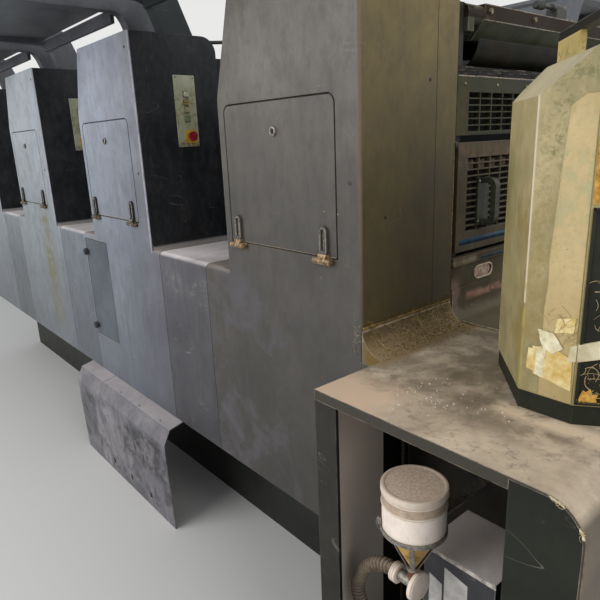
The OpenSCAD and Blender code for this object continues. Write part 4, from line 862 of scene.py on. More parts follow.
# vinyl tape: petrol blue, dirty and rubbed along its edges
stripe_tape = enamel("blue_stripe_tape", "#15303f", "#235272", "#1f272b", edge="#45637a", dust="#5f6468")
stripe = bmesh.new()
slab(stripe, rect(-0.548, 0, 0.548, 0.019), 0.0006,
     seat((unit_edge(1), 0, GUARD_LOW[2] + 0.022), TO_DELIVERY), soften=0.0002)
new_piece("guard_stripe", stripe, stripe_tape, "guard_leaf")
handle_low, handle_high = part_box("guard_handle")
handle_screws = bmesh.new()
for y in (handle_low[1] + 0.008, handle_high[1] - 0.008):
    for z in (handle_low[2] + 0.012, handle_high[2] - 0.012):
        lathe(handle_screws, [(0.005, 0.0), (0.005, 0.001), (0.0035, 0.0026), (0.0, 0.003)],
              seat((unit_edge(1) + 0.006, y, z), TO_DELIVERY), sides=16)
new_piece("handle_screws", handle_screws, zinc, "guard_leaf")

# Aprons: sheets below the guards with a folded top edge and a hand hole near each end, its
# edge rolled over a pale rubber lip. Blue tape runs along the last one's fold.
# brown-olive enamel under dried powder, pinkish along the fold and by the hand holes
apron_enamel = enamel("apron_enamel", "#3c3528", "#61553f", "#25221d", scuffs=0.5, roughness=0.52,
                      gloss=0.15, edge="#9a8a6e", dust="#746a56",
                      patches=[((None, -0.50, 1.262), (None, -0.20, 1.300), "#9a7464", 0.015, 60, 0.8),
                               ((None, -0.60, 1.215), (None, -0.52, 1.360), "#7d6a60", 0.03, 60, 0.8),
                               ((None, -0.60, 1.392), (None, -0.44, 1.424), "#93876c", 0.02, 30, 0.8)])
dress(["guard_aprons"], apron_enamel)
# soft rubber: pale beige with dust, no shine
lip_rubber = speckled("dusty_pale_rubber", "#8f7c68", "#c9b59c", 10, Roughness=0.7)
FOLD_FACE, HAND_Z, HAND_Y, HAND_HALF, LIP_R = 0.003, 1.353, 0.392, 0.032, 0.0215
lips = bmesh.new()
for k in UNITS:
    for side in (-1, 1):
        ring = []
        for centre, start in ((HAND_HALF, -90), (-HAND_HALF, 90)):
            for i in range(13):
                a = math.radians(start + 15 * i)
                ring.append(Vector((unit_edge(k) - 0.004, side * HAND_Y + centre + LIP_R * math.cos(a),
                                    HAND_Z + LIP_R * math.sin(a))))
        tube(lips, ring, 0.0034, sides=8, closed=True)
new_piece("hand_hole_lips", lips, lip_rubber)
fold_tape = bmesh.new()
slab(fold_tape, rect(-0.420, 0, 0.560, 0.008), 0.0005,
     seat((unit_edge(1) + FOLD_FACE, 0, 1.400), TO_DELIVERY), soften=0.0002)
new_piece("apron_tape", fold_tape, stripe_tape)

# Hand grip: a ribbed cup of pale card-brown plastic fills the near hand hole of the last apron,
# pressed in from behind, its floor in upright ribs. It looks flat and dusty.
grip = bmesh.new()
slab(grip, rounded_rect(0.104, 0.040, 0.019, steps=8), 0.0040,
     seat((unit_edge(1) - 0.0150, -HAND_Y, HAND_Z), TO_DELIVERY), soften=0.0016)
GRIP_RIB_PITCH = 0.0072
for i in range(-6, 7):
    reach = 0.0165 if abs(i) < 5 else 0.0110
    rib_x, rib_y = unit_edge(1) - 0.0104, -HAND_Y + GRIP_RIB_PITCH * i
    tube(grip, straight((rib_x, rib_y, HAND_Z - reach), (rib_x, rib_y, HAND_Z + reach), 4), 0.0026, sides=8)
grip_plastic = speckled("dusty_pale_plastic", "#8f7768", "#d6bfae", 12, 0.3, Roughness=0.7)
new_piece("hand_grip", grip, grip_plastic)

# Apron chute: 2 mm sheet hooked on the last apron that turns out over the tables' inner edges, in the
# aprons' enamel, with a hemmed rim at both sides.
CHUTE_R, CHUTE_TOP, CHUTE_REACH, CHUTE_HALF = 0.042, 1.318, 0.170, 0.574
TABLE_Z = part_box("console_plinth")[0][2]
CHUTE_X, CHUTE_FOOT = unit_edge(1) - 0.0030, TABLE_Z + 0.003
chute_outline = [(CHUTE_X, CHUTE_TOP), (CHUTE_X, CHUTE_FOOT + CHUTE_R)]
chute_outline += [(CHUTE_X + CHUTE_R * (1 - math.cos(a)), CHUTE_FOOT + CHUTE_R * (1 - math.sin(a)))
                  for a in (math.pi / 2 * i / 10 for i in range(1, 11))]
chute_outline.append((unit_edge(1) + CHUTE_REACH, CHUTE_FOOT))
chute = bmesh.new()
walls = []
for x, z in chute_outline:
    walls.append([chute.verts.new((x, y, z)) for y in (-CHUTE_HALF, CHUTE_HALF)])
for low, high in zip(walls, walls[1:]):
    chute.faces.new((low[0], low[1], high[1], high[0]))
chute.normal_update()
bmesh.ops.solidify(chute, geom=list(chute.faces), thickness=0.0018)
new_piece("apron_chute", chute, apron_enamel, smooth=50)
hems = bmesh.new()
for y in (-CHUTE_HALF, CHUTE_HALF):
    rim = smooth_line([Vector((x + 0.001, y, z + 0.0005)) for x, z in chute_outline], 0.006)
    tube(hems, rim, 0.0028, sides=8)
# paint rubbed thin on a hem: patchy tan
rim_paint = speckled("rubbed_rim_paint", "#6d6250", "#a8997c", 16, Roughness=0.5)
new_piece("chute_hems", hems, rim_paint)

# Levers: clamp with a knurled black knob and a brass hex bolt on the last beam, and a bare
# crank behind the second tower.
# moulded nylon: greasy black with a soft shine
lever_nylon = speckled("greasy_black_nylon", "#191a1a", "#37372f", 20, Roughness=0.45)
dress(["levers"], lever_nylon)
KNOB_X, KNOB_Z = unit_edge(1) - 0.034, BEAM_HIGH[2] + 0.038
GRIP_R, GRIP_FROM, GRIP_TO, GRIP_RIBS = 0.0128, -0.0955, -0.0525, 16
knob_ribs = bmesh.new()
for i in range(GRIP_RIBS):
    a = 2 * math.pi * i / GRIP_RIBS
    rib_x, rib_z = KNOB_X + GRIP_R * math.cos(a), KNOB_Z + GRIP_R * math.sin(a)
    tube(knob_ribs, straight((rib_x, GRIP_FROM, rib_z), (rib_x, GRIP_TO, rib_z), 4), 0.0013, sides=6)
new_piece("knob_ribs", knob_ribs, lever_nylon)
clamp_bolt = bmesh.new()
hex_bolt(clamp_bolt, seat((KNOB_X, 0.093, KNOB_Z), (0, 0, 1), up=(0, 1, 0)), 0.019, 0.009)
new_piece("clamp_bolt", clamp_bolt, pin_brass)

# Delivery tables: folded sheet on a frame, swept up to the tower and rolled down at the end.
# The top is browned by dust and hands, its front band dark and greasy, its edges rubbed bright.
TABLE_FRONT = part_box("table_tops")[0][1]
# greasy hands, powder by the tower, scraped pale ground at the sweep, stains and the dark front band
TABLE_PATCHES = [
    ((None, FACE_Y - 0.17, None), (None, FACE_Y + 0.46, None), "#4d4632", 0.07, 150, 0.60),
    ((None, FACE_Y - 0.20, None), (None, FACE_Y + 0.46, None), "#2f2b20", 0.08, 45, 0.30),
    ((PRESS_EDGE - 0.01, FACE_Y - 0.05, None), (PRESS_EDGE + 0.12, FACE_Y + 0.46, None),
     "#6b5527", 0.03, 40, 1.2),
    ((PRESS_EDGE - 0.08, TABLE_FRONT - 0.08, None), (PRESS_EDGE + 0.30, TABLE_FRONT + 0.18, None),
     "#d3b499", 0.08, 90, 0.85),
    ((PRESS_EDGE + 0.28, TABLE_FRONT - 0.02, None), (PRESS_EDGE + 0.66, TABLE_FRONT + 0.15, None),
     "#3d3730", 0.04, 26, 0.34),
    ((PRESS_EDGE + 0.30, TABLE_FRONT + 0.08, None), (PRESS_EDGE + 0.70, FACE_Y + 0.04, None),
     "#51493c", 0.08, 70, 0.45),
    ((PRESS_EDGE + 0.42, FACE_Y - 0.06, None), (PRESS_EDGE + 0.74, FACE_Y + 0.03, None),
     "#dcc7a8", 0.03, 60, 0.8),
    ((None, TABLE_FRONT - 0.002, None), (None, TABLE_FRONT + 0.0013, None), "#38342c", 0.0006, 200, 1.8)]
table_enamel = enamel("table_enamel", "#a08f79", "#d9c8af", "#51483b",
                      faces=[("X", 1, "#4a4238", "#6f6454")], streaks=(60, 300, 0.4), scuffs=0.7,
                      roughness=0.45, edge="#cdb89c", wear=0.85, dust="#c2ae96", dusty=0.3,
                      specks=("#efe6da", 3.4, 0.06), patches=TABLE_PATCHES)
dress(["table_tops"], table_enamel)


# Powder dirt: golden spray powder, crumbs and paper fibres caked in the fillet between the last
# tower and the table, and loose grains over the table top.
def crumb(shape, at, size, draw):
    """Small broken lump, an icosahedron knocked out of shape."""
    turn = Matrix.Rotation(draw.uniform(0, 6.3), 4, (draw.uniform(-1, 1), draw.uniform(-1, 1), 1))
    made = bmesh.ops.create_icosphere(shape, subdivisions=1, radius=size / 2,
                                      matrix=Matrix.Translation(at) @ turn)
    for vert in made["verts"]:
        vert.co = Vector(at) + (vert.co - Vector(at)) * draw.uniform(0.55, 1.15)


def fibre(shape, at, reach, draw, lift=(0, 0, 1), thick=0.0005):
    """Bent paper fibre or glue strand of that reach, lying about square to lift."""
    out = Vector(lift).normalized()
    way = out.orthogonal().normalized()
    way.rotate(Matrix.Rotation(draw.uniform(0, 2 * math.pi), 3, out))
    bow = out.cross(way) * draw.uniform(-0.35, 0.35)
    line = [Vector(at) + reach * ((t - 0.5) * way + 4 * t * (1 - t) * bow)
            + out * (0.0006 + 0.06 * reach * math.sin(math.pi * t)) for t in (i / 6 for i in range(7))]
    tube(shape, line, lambda s: thick * draw.uniform(0.7, 1.3), sides=5)


dirt, fibres = bmesh.new(), bmesh.new()
drift = random.Random(5)
SWEEP_X, SWEEP_Z, SWEEP_R = PRESS_EDGE + 0.0755, TABLE_Z + 0.075, 0.0745
for _ in range(1500):
    y = FACE_Y + 0.012 + 0.40 * drift.random() ** 0.6
    a = drift.uniform(0.02, 0.46) * math.pi
    at = (SWEEP_X - SWEEP_R * math.sin(a), y, SWEEP_Z - SWEEP_R * math.cos(a))
    crumb(dirt, at, drift.uniform(0.002, 0.0055), drift)
    if drift.random() < 0.14:
        fibre(fibres, at, drift.uniform(0.010, 0.040), drift, lift=(math.sin(a), 0, math.cos(a)))
for _ in range(200):
    crumb(dirt, (SWEEP_X + 0.05 * drift.random() ** 2, FACE_Y + 0.42 * drift.random(), TABLE_Z + 0.0005),
          drift.uniform(0.0015, 0.004), drift)
for _ in range(12):
    fibre(fibres, (PRESS_EDGE - drift.uniform(0.002, 0.035), FACE_Y - 0.0004,
                   TABLE_Z + drift.uniform(0.0, 0.09)), drift.uniform(0.006, 0.022), drift, lift=(0, -1, 0),
          thick=0.00035)
caked = [Vector((PRESS_EDGE + 0.0026, FACE_Y + 0.004 + 0.004 * i,
                 TABLE_Z + 0.0762 + drift.uniform(-0.001, 0.001))) for i in range(104)]
tube(dirt, caked, lambda s: drift.uniform(0.0028, 0.0042), sides=6)
for _ in range(700):
    climb = drift.random() ** 2
    crumb(dirt, (PRESS_EDGE + 0.0010, FACE_Y + 0.006 + 0.41 * drift.random(),
                 TABLE_Z + 0.0735 + 0.022 * climb), drift.uniform(0.002, 0.0052) * (1 - 0.5 * climb), drift)
# spray powder caked with oil: matt, dark gold to straw
golden_dirt = speckled("caked_golden_powder", "#4f3f1c", "#94783a", 14, Roughness=0.9)
new_piece("powder_dirt", dirt, golden_dirt, smooth=10)
# dried paper fibre: matt straw yellow
straw = speckled("dried_pale_fibre", "#8a7446", "#cdb785", 20, Roughness=0.85)
new_piece("table_fibres", fibres, straw, smooth=60)
grains = bmesh.new()
for _ in range(70):
    spread = drift.gauss(0, 0.07)
    crumb(grains, (PRESS_EDGE + 0.22 + abs(drift.gauss(0, 0.16)), FACE_Y - 0.07 + spread, TABLE_Z + 0.0006),
          drift.uniform(0.0012, 0.0040), drift)
# paper dust in grains: matt, pinkish white
pale_grain = speckled("pale_paper_grain", "#c9b8ae", "#f0e4dd", 5, Roughness=0.9)
new_piece("table_grains", grains, pale_grain, smooth=10)

# Cabinet: welded sheet box under the table, open on the aisle side, green-black inside and
# out; its near wall is pale where the light falls, dust and painted light, and a riser pipe stands at the
# back.
CAB_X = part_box("cabinet_frame")[0][0]
# green-black enamel, with the strip of wall that the lamp reaches made pale: dust, and a painted pool of
# light
LIT_AND_DUSTED_WALL = ((CAB_X + 0.0085, -1.256, 0.32), (CAB_X + 0.0115, FACE_Y - 0.006, 1.2), "#cabfb2", 0.0005,
               200, 1.7)
cabinet_enamel = enamel("cabinet_enamel", "#10110f", "#1d1e1a", "#0d0e0c",
                        faces=[("Y", -1, "#23211d", "#34312b")], scuffs=0.3, gloss=0.2, edge="#8a7f70",
                        wear=0.6, dust="#5d564c", specks=("#6f6a60", 3.0, 0.04), patches=[LIT_AND_DUSTED_WALL])
body_enamel = enamel("cabinet_body_enamel", "#13160f", "#1f2219", "#0c0e09",
                     faces=[("X", 1, "#463e33", "#665c4d")], gloss=0.25, edge="#5b5a4c", dust="#6f675a",
                     specks=("#6f6f60", 3.0, 0.06))
far_body_enamel = enamel("far_cabinet_enamel", "#24271f", "#363a30", "#1a1c17", edge="#5b5a4c",
                         dust="#6f675a")
dress(["cabinet_frame"], cabinet_enamel)
dress(["cabinet_body"], body_enamel)
dress(["far_cabinet"], far_body_enamel)

# Chips on the rolled corner: the enamel has lifted off the rim of the roll in thin curled flakes
# that show the pale primer, with fine fibres caught in them.
flakes, snags = bmesh.new(), bmesh.new()
flake = random.Random(21)
END_X, ROLL_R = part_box("cabinet_body")[1][0] + 0.006, 0.075
for start, end, count in ((64, 82, 9), (16, 30, 5)):
    for i in range(count):
        a = math.radians(start + (end - start) * (i + 0.5) / count)
        r = 0.0722 + flake.uniform(-0.0012, 0.0008)
        centre = Vector((END_X - ROLL_R + r * math.cos(a), TABLE_FRONT - 0.0002,
                         TABLE_Z - ROLL_R + r * math.sin(a)))
        length, width = flake.uniform(0.0045, 0.0085), flake.uniform(0.0012, 0.0030)
        outline = [(length * math.cos(b) * flake.uniform(0.7, 1.1),
                    width * math.sin(b) * flake.uniform(0.6, 1.2))
                   for b in (2 * math.pi * j / 10 for j in range(10))]
        turn = Matrix.Rotation(a + math.pi / 2 + flake.uniform(-0.35, 0.35), 4, "Z")
        slab(flakes, outline, 0.0004, Matrix.Translation((0, -0.00015 * i,
                                                          0)) @ seat(centre, TO_AISLE) @ turn)
        fibre(snags, centre, flake.uniform(0.006, 0.020), flake, lift=(0, -1, 0), thick=0.0004)
# bare primer: matt, off-white with brown specks
primer = speckled("bare_pale_primer", "#a89c86", "#e5decb", 5, Roughness=0.8)
new_piece("roll_chips", flakes, primer, smooth=10)
new_piece("roll_fibres", snags, straw, smooth=60)

# Powder pot: moulded cream polythene pot with a screw lid of fine wire mesh in a rim, and a
# moulded cuff and end cap on the tee below.
# polythene gives a waxy cream, dusty and browned in streaks; the lid's is darker
cream = enamel("dusty_cream_polythene", "#e4d0bf", "#f4e6da", "#ab9686", streaks=(14, 200, 0.3), scuffs=0.1,
               edge="#f3eadc", wear=0.4, dust="#dccdbb")
dress(["powder_pot"], cream)
lid_enamel = enamel("lid_rim_polythene", "#c6b39f", "#dfd0be", "#9d8a77", streaks=(14, 200, 0.2),
                    scuffs=0.1, edge="#e4d5c4", wear=0.5, dust="#d2bfab")
dress(["powder_lid"], lid_enamel)
lid_low, lid_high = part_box("powder_lid")
POT_X, POT_Y = (lid_low[0] + lid_high[0]) / 2, (lid_low[1] + lid_high[1]) / 2
MESH_R, MESH_PITCH = 0.0690, 0.0035


def over_pot(z):
    """Placement on the pot's upright axis."""
    return seat((POT_X, POT_Y, z), (0, 0, 1), up=(0, 1, 0))


# the real mesh is finer than 3.5 mm, which is as coarse as it needs to show
weave = bmesh.new()
for i in range(-19, 20):
    offset = i * MESH_PITCH
    half = math.sqrt(max(0.0, MESH_R ** 2 - offset ** 2))
    for turn, lift in ((0, 0.0), (90, 0.0004)):
        place = (Matrix.Translation((POT_X, POT_Y, lid_high[2] + 0.0012 + lift))
                 @ Matrix.Rotation(math.radians(turn + 24), 4, "Z"))
        strand = [place @ Vector((offset, along, dip)) for along,
                  dip in ((-half, 0), (0, -0.0003), (half, 0))]
        tube(weave, strand, 0.0007, sides=5)
# woven steel wire under powder: pale tan, hardly metallic
wire = speckled("dusty_woven_wire", "#bfaa95", "#e6d4c0", 6, Metallic=0.1, Roughness=0.7)
new_piece("lid_mesh", weave, wire, smooth=70)
under = bmesh.new()
disc(under, MESH_R, 0.0003, over_pot(lid_high[2] + 0.0002), sides=48)
# powder film behind the mesh: matt tan
film_brown = speckled("brown_powder_film", "#ae9883", "#d8c2ab", 20, Roughness=0.9)
new_piece("lid_mesh_backing", under, film_brown)
rims = bmesh.new()
LID_RIM = [(0.0695, 0.0), (0.0715, 0.0012), (0.0780, 0.0012), (0.0800, 0.0), (0.0805, -0.003),
           (0.0805, -0.0145), (0.0792, -0.0165), (0.0775, -0.0165), (0.0775, -0.002), (0.0695, -0.002)]
POT_BEAD = [(0.0772, 0.0), (0.0790, 0.001), (0.0796, 0.0035), (0.0790, 0.006), (0.0772, 0.007)]
lathe(rims, LID_RIM, over_pot(lid_high[2] + 0.0018), sides=72, hollow=True)
lathe(rims, POT_BEAD, over_pot(lid_low[2] - 0.031), sides=72, hollow=True)
new_piece("pot_rims", rims, lid_enamel)


def hoop(shape, inner, outer, height, place, sides=72):
    """Flat band round the placement's z."""
    lathe(shape, [(inner, 0.0), (outer, 0.0), (outer, height), (inner, height)], place, sides, hollow=True)


band = bmesh.new()
hoop(band, 0.0772, 0.0782, 0.022, over_pot(lid_low[2] - 0.026))
# sealing tape: browned paper-backed film with a soft shine
sealing_tape = speckled("browned_sealing_tape", "#a28e79", "#bda993", 24, Roughness=0.6)
new_piece("pot_tape_band", band, sealing_tape)

# Cone and its frame: amber polycarbonate cone, moulded, in a zinc strap that meets in a V
# under it; a draw latch on the band's left holds the pot down.
# polycarbonate gives an amber shine, clouded by powder in patches 33 mm across
amber, tree, shader = new_material("amber_polycarbonate", Roughness=0.3)
at = add(tree, "TexCoord").outputs["Object"]
film = add(tree, "TexNoise", {"Vector": at, "Scale": 1000 / 33, "Detail": 4.0})
amber_colour = add(tree, "ValToRGB", {"Fac": film.outputs["Fac"]},
                   stops=[(0.35, linear("#9c7230")), (0.65, linear("#dfb468"))])
tree.links.new(amber_colour.outputs["Color"], shader.inputs["Base Color"])
dress(["powder_cone"], amber)
# dull zinc strap: warm grey, low shine
bracket_zinc = speckled("dull_zinc_strap", "#6b6760", "#9c968c", 9, Metallic=0.5, Roughness=0.5)
dress(["powder_bracket"], bracket_zinc)
CONE_TOP, CONE_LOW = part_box("powder_cone")[1][2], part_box("powder_cone")[0][2]
TEE_Z = 0.742
straps = bmesh.new()
for bearing in (215, 305, 35):
    out = Vector((math.cos(math.radians(bearing)), math.sin(math.radians(bearing)), 0))
    side = Vector((-out.y, out.x, 0))
    top = Vector((POT_X, POT_Y, CONE_TOP - 0.004)) + out * 0.0790
    foot = Vector((POT_X, POT_Y, CONE_LOW - 0.004)) + out * 0.0150
    fall = foot - top
    lean = Matrix((side, fall.normalized(), side.cross(fall.normalized()))).transposed().to_4x4()
    slab(straps, rect(-0.006, 0, 0.006, fall.length), 0.0022, Matrix.Translation(top) @ lean, soften=0.0004)
hoop(straps, 0.0788, 0.0808, 0.011, over_pot(CONE_TOP - 0.010))
hoop(straps, 0.011, 0.0175, 0.007, over_pot(CONE_LOW - 0.010), sides=32)
new_piece("cone_straps", straps, bracket_zinc)
# turned copper fitting: brown, spotted with rust and old flux
copper = speckled("rusty_copper_fitting", "#4a2f22", "#94684a", 8, Metallic=0.5, Roughness=0.6)
fitting = bmesh.new()
lathe(fitting, [(0.0095, 0.0), (0.0135, 0.002), (0.0135, 0.014), (0.0105, 0.016), (0.0105, 0.020),
                (0.0125, 0.022), (0.0125, 0.030), (0.0095, 0.032)], over_pot(TEE_Z + 0.013))
new_piece("copper_fitting", fitting, copper)
latch = bmesh.new()
left_out = Vector((math.cos(math.radians(228)), math.sin(math.radians(228)), 0))
latch_at = Vector((POT_X, POT_Y, CONE_TOP + 0.004)) + left_out * 0.0785
slab(latch, rounded_rect(0.014, 0.034, 0.004), 0.004, seat(latch_at, left_out), soften=0.001)
lever_at = latch_at + left_out * 0.004 + Vector((0, 0, 0.008))
slab(latch, rounded_rect(0.009, 0.020, 0.004), 0.005, seat(lever_at, left_out), soften=0.001)
bow = [latch_at + left_out * (0.006 + 0.006 * math.sin(math.pi * i / 10))
       + Vector((0, 0, -0.014 + 0.036 * i / 10)) for i in range(11)]
tube(latch, bow, 0.0014, sides=8)
new_piece("pot_latch", latch, zinc)

# Tee fittings: the cream end cap is domed with a moulded grip ring; the cuff has three ribs.
moulded = bmesh.new()
END_CAP = [(0.030, 0.0), (0.036, 0.0008), (0.0385, 0.003), (0.036, 0.0052), (0.028, 0.0058), (0.022, 0.0078),
           (0.0, 0.0095)]
lathe(moulded, END_CAP, seat((POT_X + 0.0195, POT_Y, TEE_Z), TO_DELIVERY), sides=48)
for x in (0.270, 0.277, 0.284):
    lathe(moulded, [(0.0235, 0.0), (0.0262, 0.0008), (0.0262, 0.0028), (0.0235, 0.0036)],
          seat((PRESS_EDGE + x, POT_Y, TEE_Z), TO_DELIVERY), sides=40)
new_piece("tee_mouldings", moulded, cream)

# Sprayer box: sheet-steel housing, satin dark grey, its lid dusty, the dust set near white as painted light
# on the lid, and worn bright along the front edge, with two blank pale plates on the front.
box_enamel = enamel("sprayer_box_enamel", "#2e2e31", "#454548", "#212123", scuffs=0.6, edge="#efe4d8",
                    wear=1.0, dust="#f0e6e0", dusty=0.97)
dress(["spray_box"], box_enamel)
box_low, box_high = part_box("spray_box")
# plain plastic plate: flat pale grey
blank = speckled("blank_pale_plate", "#a9a5a2", "#c9c5c1", 30, 0.1, Roughness=0.5)
plates = bmesh.new()
box_corner = seat((box_low[0], box_low[1], box_high[2]), TO_AISLE)
slab(plates, [(0.018, -0.215), (0.058, -0.215), (0.058, -0.094), (0.018, -0.080)], 0.0012, box_corner,
     soften=0.0004)
slab(plates, [(0.064, -0.150), (0.132, -0.150), (0.132, -0.052), (0.064, -0.036)], 0.0012, box_corner,
     soften=0.0004)
new_piece("box_blank_plates", plates, blank)
lid_lip = bmesh.new()
slab(lid_lip, rect(-0.0015, 0, box_high[0] - box_low[0] + 0.0015, 0.012), 0.0018,
     seat((box_low[0], box_low[1], box_high[2] - 0.0125), TO_AISLE), soften=0.0006)
# enamel worn down to bright steel along the lip
bright_lip = speckled("rubbed_bright_lip", "#7d756e", "#d6ccc2", 22, Roughness=0.5)
new_piece("box_lid_lip", lid_lip, bright_lip)

# Console: folded sheet body on a dark plinth, once beige, now yellowed with green mould, its
# front corner rubbed to bare bright steel; a newer, paler sheet is screwed over part of it.
con_low, con_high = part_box("console_body")
corner_x, corner_y = con_low[0] + 0.168, con_low[1]
# yellow-beige enamel with green mould low down, its front corner bare and bright
CONSOLE_PATCHES = [((corner_x + 0.004, corner_y - 0.003, con_low[2]),
                    (corner_x + 0.06, corner_y + 0.01, con_high[2] - 0.10), "#7f7849", 0.004, 12, 0.42),
                   ((con_low[0] + 0.18, None, con_high[2] - 0.22),
                    (con_low[0] + 0.30, None, con_high[2] + 0.01), "#66643a", 0.03, 16, 0.42),
                   ((None, None, con_low[2]), (None, None, con_low[2] + 0.46), "#8d7a48", 0.08, 120, 0.42),
                   ((corner_x - 0.0042, corner_y - 0.003, con_low[2] + 0.20),
                    (corner_x + 0.0038, corner_y + 0.012, con_high[2]), "#d6cab2", 0.003, 90, 1.2),
                   ((corner_x - 0.010, corner_y - 0.003, con_low[2] - 0.01),
                    (corner_x + 0.006, corner_y + 0.014, con_low[2] + 0.25), "#a3964c", 0.003, 40, 0.6)]
console_enamel = enamel("console_enamel", "#94865c", "#c4b388", "#66663c", streaks=(30, 260, 0.45),
                        scuffs=0.25, tone=[(con_low[2], 0.84), (con_low[2] + 0.25, 0.95),
                                           (con_high[2], 1.0)], faces=[("X", -1, "#7a754b", "#a29a6e")],
                        edge="#b8a97e", wear=0.7, dust="#cdc2a4", specks=("#5f5b3c", 3.5, 0.14),
                        patches=CONSOLE_PATCHES)
dress(["console_body"], console_enamel)
# plinth: green-black, its edges scuffed olive
plinth_enamel = enamel("plinth_enamel", "#171a12", "#2d3024", "#10120c", edge="#5f5a44", wear=0.6, gloss=0.2)
dress(["console_plinth"], plinth_enamel)
# newer sheet: paler yellow coat with a green edge and brown specks
pale_yellow = enamel("pale_yellow_enamel", "#b8a070", "#cbb586", "#8d8350", streaks=(30, 260, 0.3),
                     edge="#7d7a4c", wear=0.9, specks=("#5f5232", 2.6, 0.3),
                     patches=[((None, None, con_low[2] + 0.30), (None, None, con_low[2] + 0.63), "#a3a078",
                               0.12, 60, 0.5), ((None, None, con_low[2]), (None, None, con_low[2] + 0.63),
                                                "#a39468", 0.01, 9, 0.3)])
cover_sheet = bmesh.new()
con_front = seat(con_low, TO_AISLE)
slab(cover_sheet, [(0.214, 0.001), (0.287, 0.001), (0.287, 0.620), (0.262, 0.620), (0.250, 0.612),
                   (0.240, 0.606), (0.233, 0.598), (0.228, 0.520), (0.222, 0.420), (0.2155, 0.300),
                   (0.2175, 0.250), (0.213, 0.200)], 0.0016, con_front, soften=0.0005)
new_piece("console_cover_sheet", cover_sheet, pale_yellow)


# Console end: black socket panel in a raised frame on the narrow chamfer, a pale strip glued
# across it and golden dirt lodged on its sill.
def on_end_cut(s, z, out=0.0):
    """Placement on the console's narrow chamfer next to the table's end, s along it and z up."""
    start, end = Vector((con_high[0] - 0.080, con_low[1], 0)), Vector((con_high[0], con_low[1] + 0.057, 0))
    way = (end - start).normalized()
    outward = Vector((way.y, -way.x, 0))
    return seat(start + way * s + outward * out + Vector((0, 0, con_low[2] + z)), outward)


# black crackle enamel, scratched through to brown
socket_black = enamel("socket_panel_black", "#161712", "#2d2e25", "#0f100c", scuffs=0.9, gloss=0.2,
                      edge="#5c5434", dust="#6b5f3f", specks=("#8a7a4a", 2.5, 0.2))
socket = bmesh.new()
LEFT, RIGHT, LOW, HIGH = 0.003, 0.095, 0.004, 0.412
end_cut = on_end_cut(0, 0)
slab(socket, rect(LEFT, LOW, RIGHT, HIGH), 0.0015, end_cut, soften=0.0005)
for edges in ((LEFT, LOW, 0.008, HIGH), (0.090, LOW, RIGHT, HIGH), (LEFT, 0.406, RIGHT, HIGH),
              (LEFT, LOW, RIGHT, 0.010)):
    slab(socket, rect(*edges), 0.005, end_cut, soften=0.0008)
new_piece("console_socket_panel", socket, socket_black)
strips = bmesh.new()
slab(strips, [(-0.0005, 0.099), (0.096, 0.118), (0.096, 0.160), (-0.0005, 0.136)], 0.0064, end_cut,
     soften=0.001)
slab(strips, [(0.272, 0.095), (0.2895, 0.0985), (0.2895, 0.1345), (0.276, 0.130)], 0.0050, con_front,
     soften=0.001)
# glued strip of pale card: matt cream
pale_strip = speckled("pale_glued_strip", "#b8ab88", "#d9cfae", 30, 0.2, Roughness=0.7)
new_piece("console_pale_strip", strips, pale_strip)
trim = bmesh.new()
slab(trim, rect(0.001, 0.418, 0.010, 0.542), 0.002, end_cut, soften=0.0005)
slab(trim, [(0.010, 0.011), (0.046, 0.011), (0.043, 0.019), (0.047, 0.030), (0.036, 0.027), (0.031, 0.041),
            (0.023, 0.033), (0.017, 0.037), (0.011, 0.022)], 0.0012, on_end_cut(0, 0, 0.0015))
# varnished trim, torn off in part: amber with a shine
amber_trim = speckled("amber_varnished_trim", "#9a6a1f", "#d8a548", 14, Roughness=0.4)
new_piece("console_gold_trim", trim, amber_trim)
lodged, strands = bmesh.new(), bmesh.new()
sill = random.Random(9)
for _ in range(46):
    place = on_end_cut(sill.uniform(0.006, 0.090), 0.010 + 0.05 * sill.random() ** 3, 0.0045)
    crumb(lodged, tuple(place.translation), sill.uniform(0.0015, 0.004), sill)
outward = end_cut.to_3x3() @ Vector((0, 0, 1))
for _ in range(40):
    place = on_end_cut(sill.uniform(0.010, 0.086),
                       sill.choice([sill.uniform(0.02, 0.10), sill.uniform(0.16, 0.30)]), 0.0018)
    fibre(strands, tuple(place.translation), sill.uniform(0.010, 0.045), sill, lift=tuple(outward),
          thick=sill.uniform(0.0003, 0.0007))
for _ in range(24):
    at = (con_low[0] + sill.uniform(0.215, 0.285), con_low[1] - 0.0020, con_low[2] + sill.uniform(0.13, 0.20))
    fibre(strands, at, sill.uniform(0.012, 0.035), sill, lift=(0, -1, 0), thick=0.00035)
new_piece("console_dirt", lodged, golden_dirt, smooth=10)
new_piece("glue_strands", strands, straw, smooth=60)

# Paper scraps: torn slips, three of yellow paper and two of pale, glued low on the console's front and
# curled 2 to 4 mm off it. Paper looks matt, mottled by the glue behind it.
torn = random.Random(17)


def scrap(shape, corners, lift):
    """Slip of paper with torn edges: the outline's sides are cut short and jittered."""
    outline = []
    for (x, z), (next_x, next_z) in zip(corners, corners[1:] + corners[:1]):
        for i in range(6):
            t = i / 6
            outline.append((x + (next_x - x) * t + torn.uniform(-0.0008, 0.0008),
                            z + (next_z - z) * t + torn.uniform(-0.0008, 0.0008)))
    slab(shape, outline, 0.0005, seat((con_low[0], con_low[1] - lift, con_low[2]), TO_AISLE))


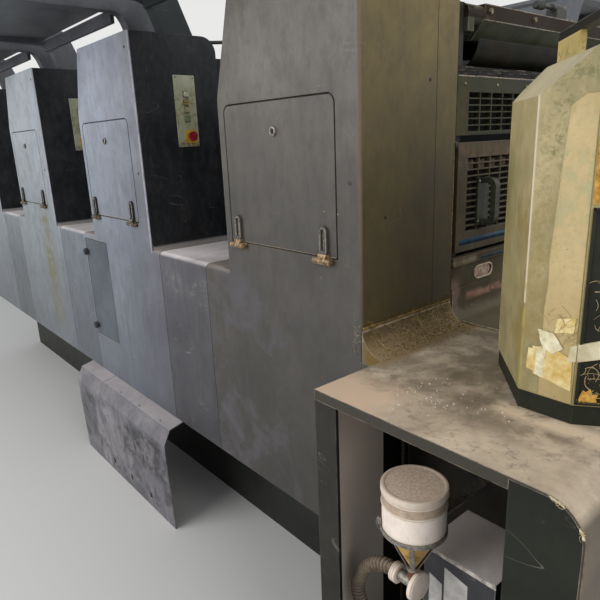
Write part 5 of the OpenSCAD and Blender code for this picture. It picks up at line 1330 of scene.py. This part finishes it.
yellow_slips, pale_slips = bmesh.new(), bmesh.new()
scrap(yellow_slips, [(0.186, 0.104), (0.203, 0.106), (0.206, 0.052), (0.184, 0.056)], 0.0022)
scrap(yellow_slips, [(0.196, 0.110), (0.240, 0.118), (0.282, 0.100), (0.283, 0.032), (0.200, 0.048)], 0.0030)
scrap(yellow_slips, [(0.240, 0.150), (0.280, 0.158), (0.281, 0.190), (0.244, 0.182)], 0.0026)
scrap(pale_slips, [(0.206, 0.152), (0.240, 0.148), (0.262, 0.120), (0.240, 0.104), (0.220, 0.112),
                   (0.212, 0.126)], 0.0040)
scrap(pale_slips, [(0.204, 0.048), (0.222, 0.045), (0.224, 0.112), (0.205, 0.110)], 0.0036)
yellow_paper = speckled("yellowed_paper", "#c7a452", "#ead9a2", 34, 0.6, Roughness=0.85)
pale_paper = speckled("pale_torn_paper", "#cbbf97", "#efe6c6", 18, 0.8, Roughness=0.85)
new_piece("yellow_paper_slips", yellow_slips, yellow_paper, smooth=10)
new_piece("pale_paper_slip", pale_slips, pale_paper, smooth=10)

# Bracket and rail: a yellow plate stands on the sloped facet's top edge and carries a flat
# black grab bar, rubbed light on top.
RAIL_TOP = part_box("console_rail")[1][2]
# yellow enamel with green spots under the bar; the top 18.5 mm is the bar's black coat
BRACKET_PATCHES = [((None, None, RAIL_TOP - 0.062), (None, None, RAIL_TOP - 0.030), "#6f7040", 0.008, 18,
                    0.35), ((None, None, RAIL_TOP - 0.0185), (None, None, RAIL_TOP + 0.01), "#1c1b19",
                            0.0003, 200, 1.8)]
bracket_enamel = enamel("bracket_enamel", "#b39a5a", "#d6c088", "#7a7340", edge="#77765c", wear=0.8,
                        dust="#8a857a", dusty=0.7, patches=BRACKET_PATCHES)
dress(["console_rail"], bracket_enamel)

# Foot plate: one bent steel plate still stands on the floor below the covers, galvanised, grey-white
# with black oil marks round its three slots, darkened further as painted shade for the dark behind them, and
# run-off below.
SLOT_AT = (0.5675, 0.3385, 0.1095)
# near-black over each slot: oil and painted shade, for the dark seen through the slot
FOOT_SLOT_SHADE_AND_STAINS = [((x - 0.015, None, 0.055), (x + 0.015, None, 0.085), "#0f0e0f", 0.004, 200, 1.8)
                for x in SLOT_AT]
FOOT_SLOT_SHADE_AND_STAINS += [((0.30, None, 0.20), (0.86, None, 0.47), "#1d1c1e", 0.05, 60, 0.55),
                 ((None, None, 0.0), (None, None, 0.45), "#2a292c", 0.05, 110, 0.42)]
foot_enamel = enamel("galvanised_oily_sheet", "#5a595e", "#8b868b", "#1f1e20", streaks=(44, 150, 0.6),
                     scuffs=0.8, edge="#c5bfba", wear=0.8, dust="#b3acac", specks=("#1b1a1b", 5.0, 0.08),
                     patches=FOOT_SLOT_SHADE_AND_STAINS)
dress(["foot_plate"], foot_enamel)
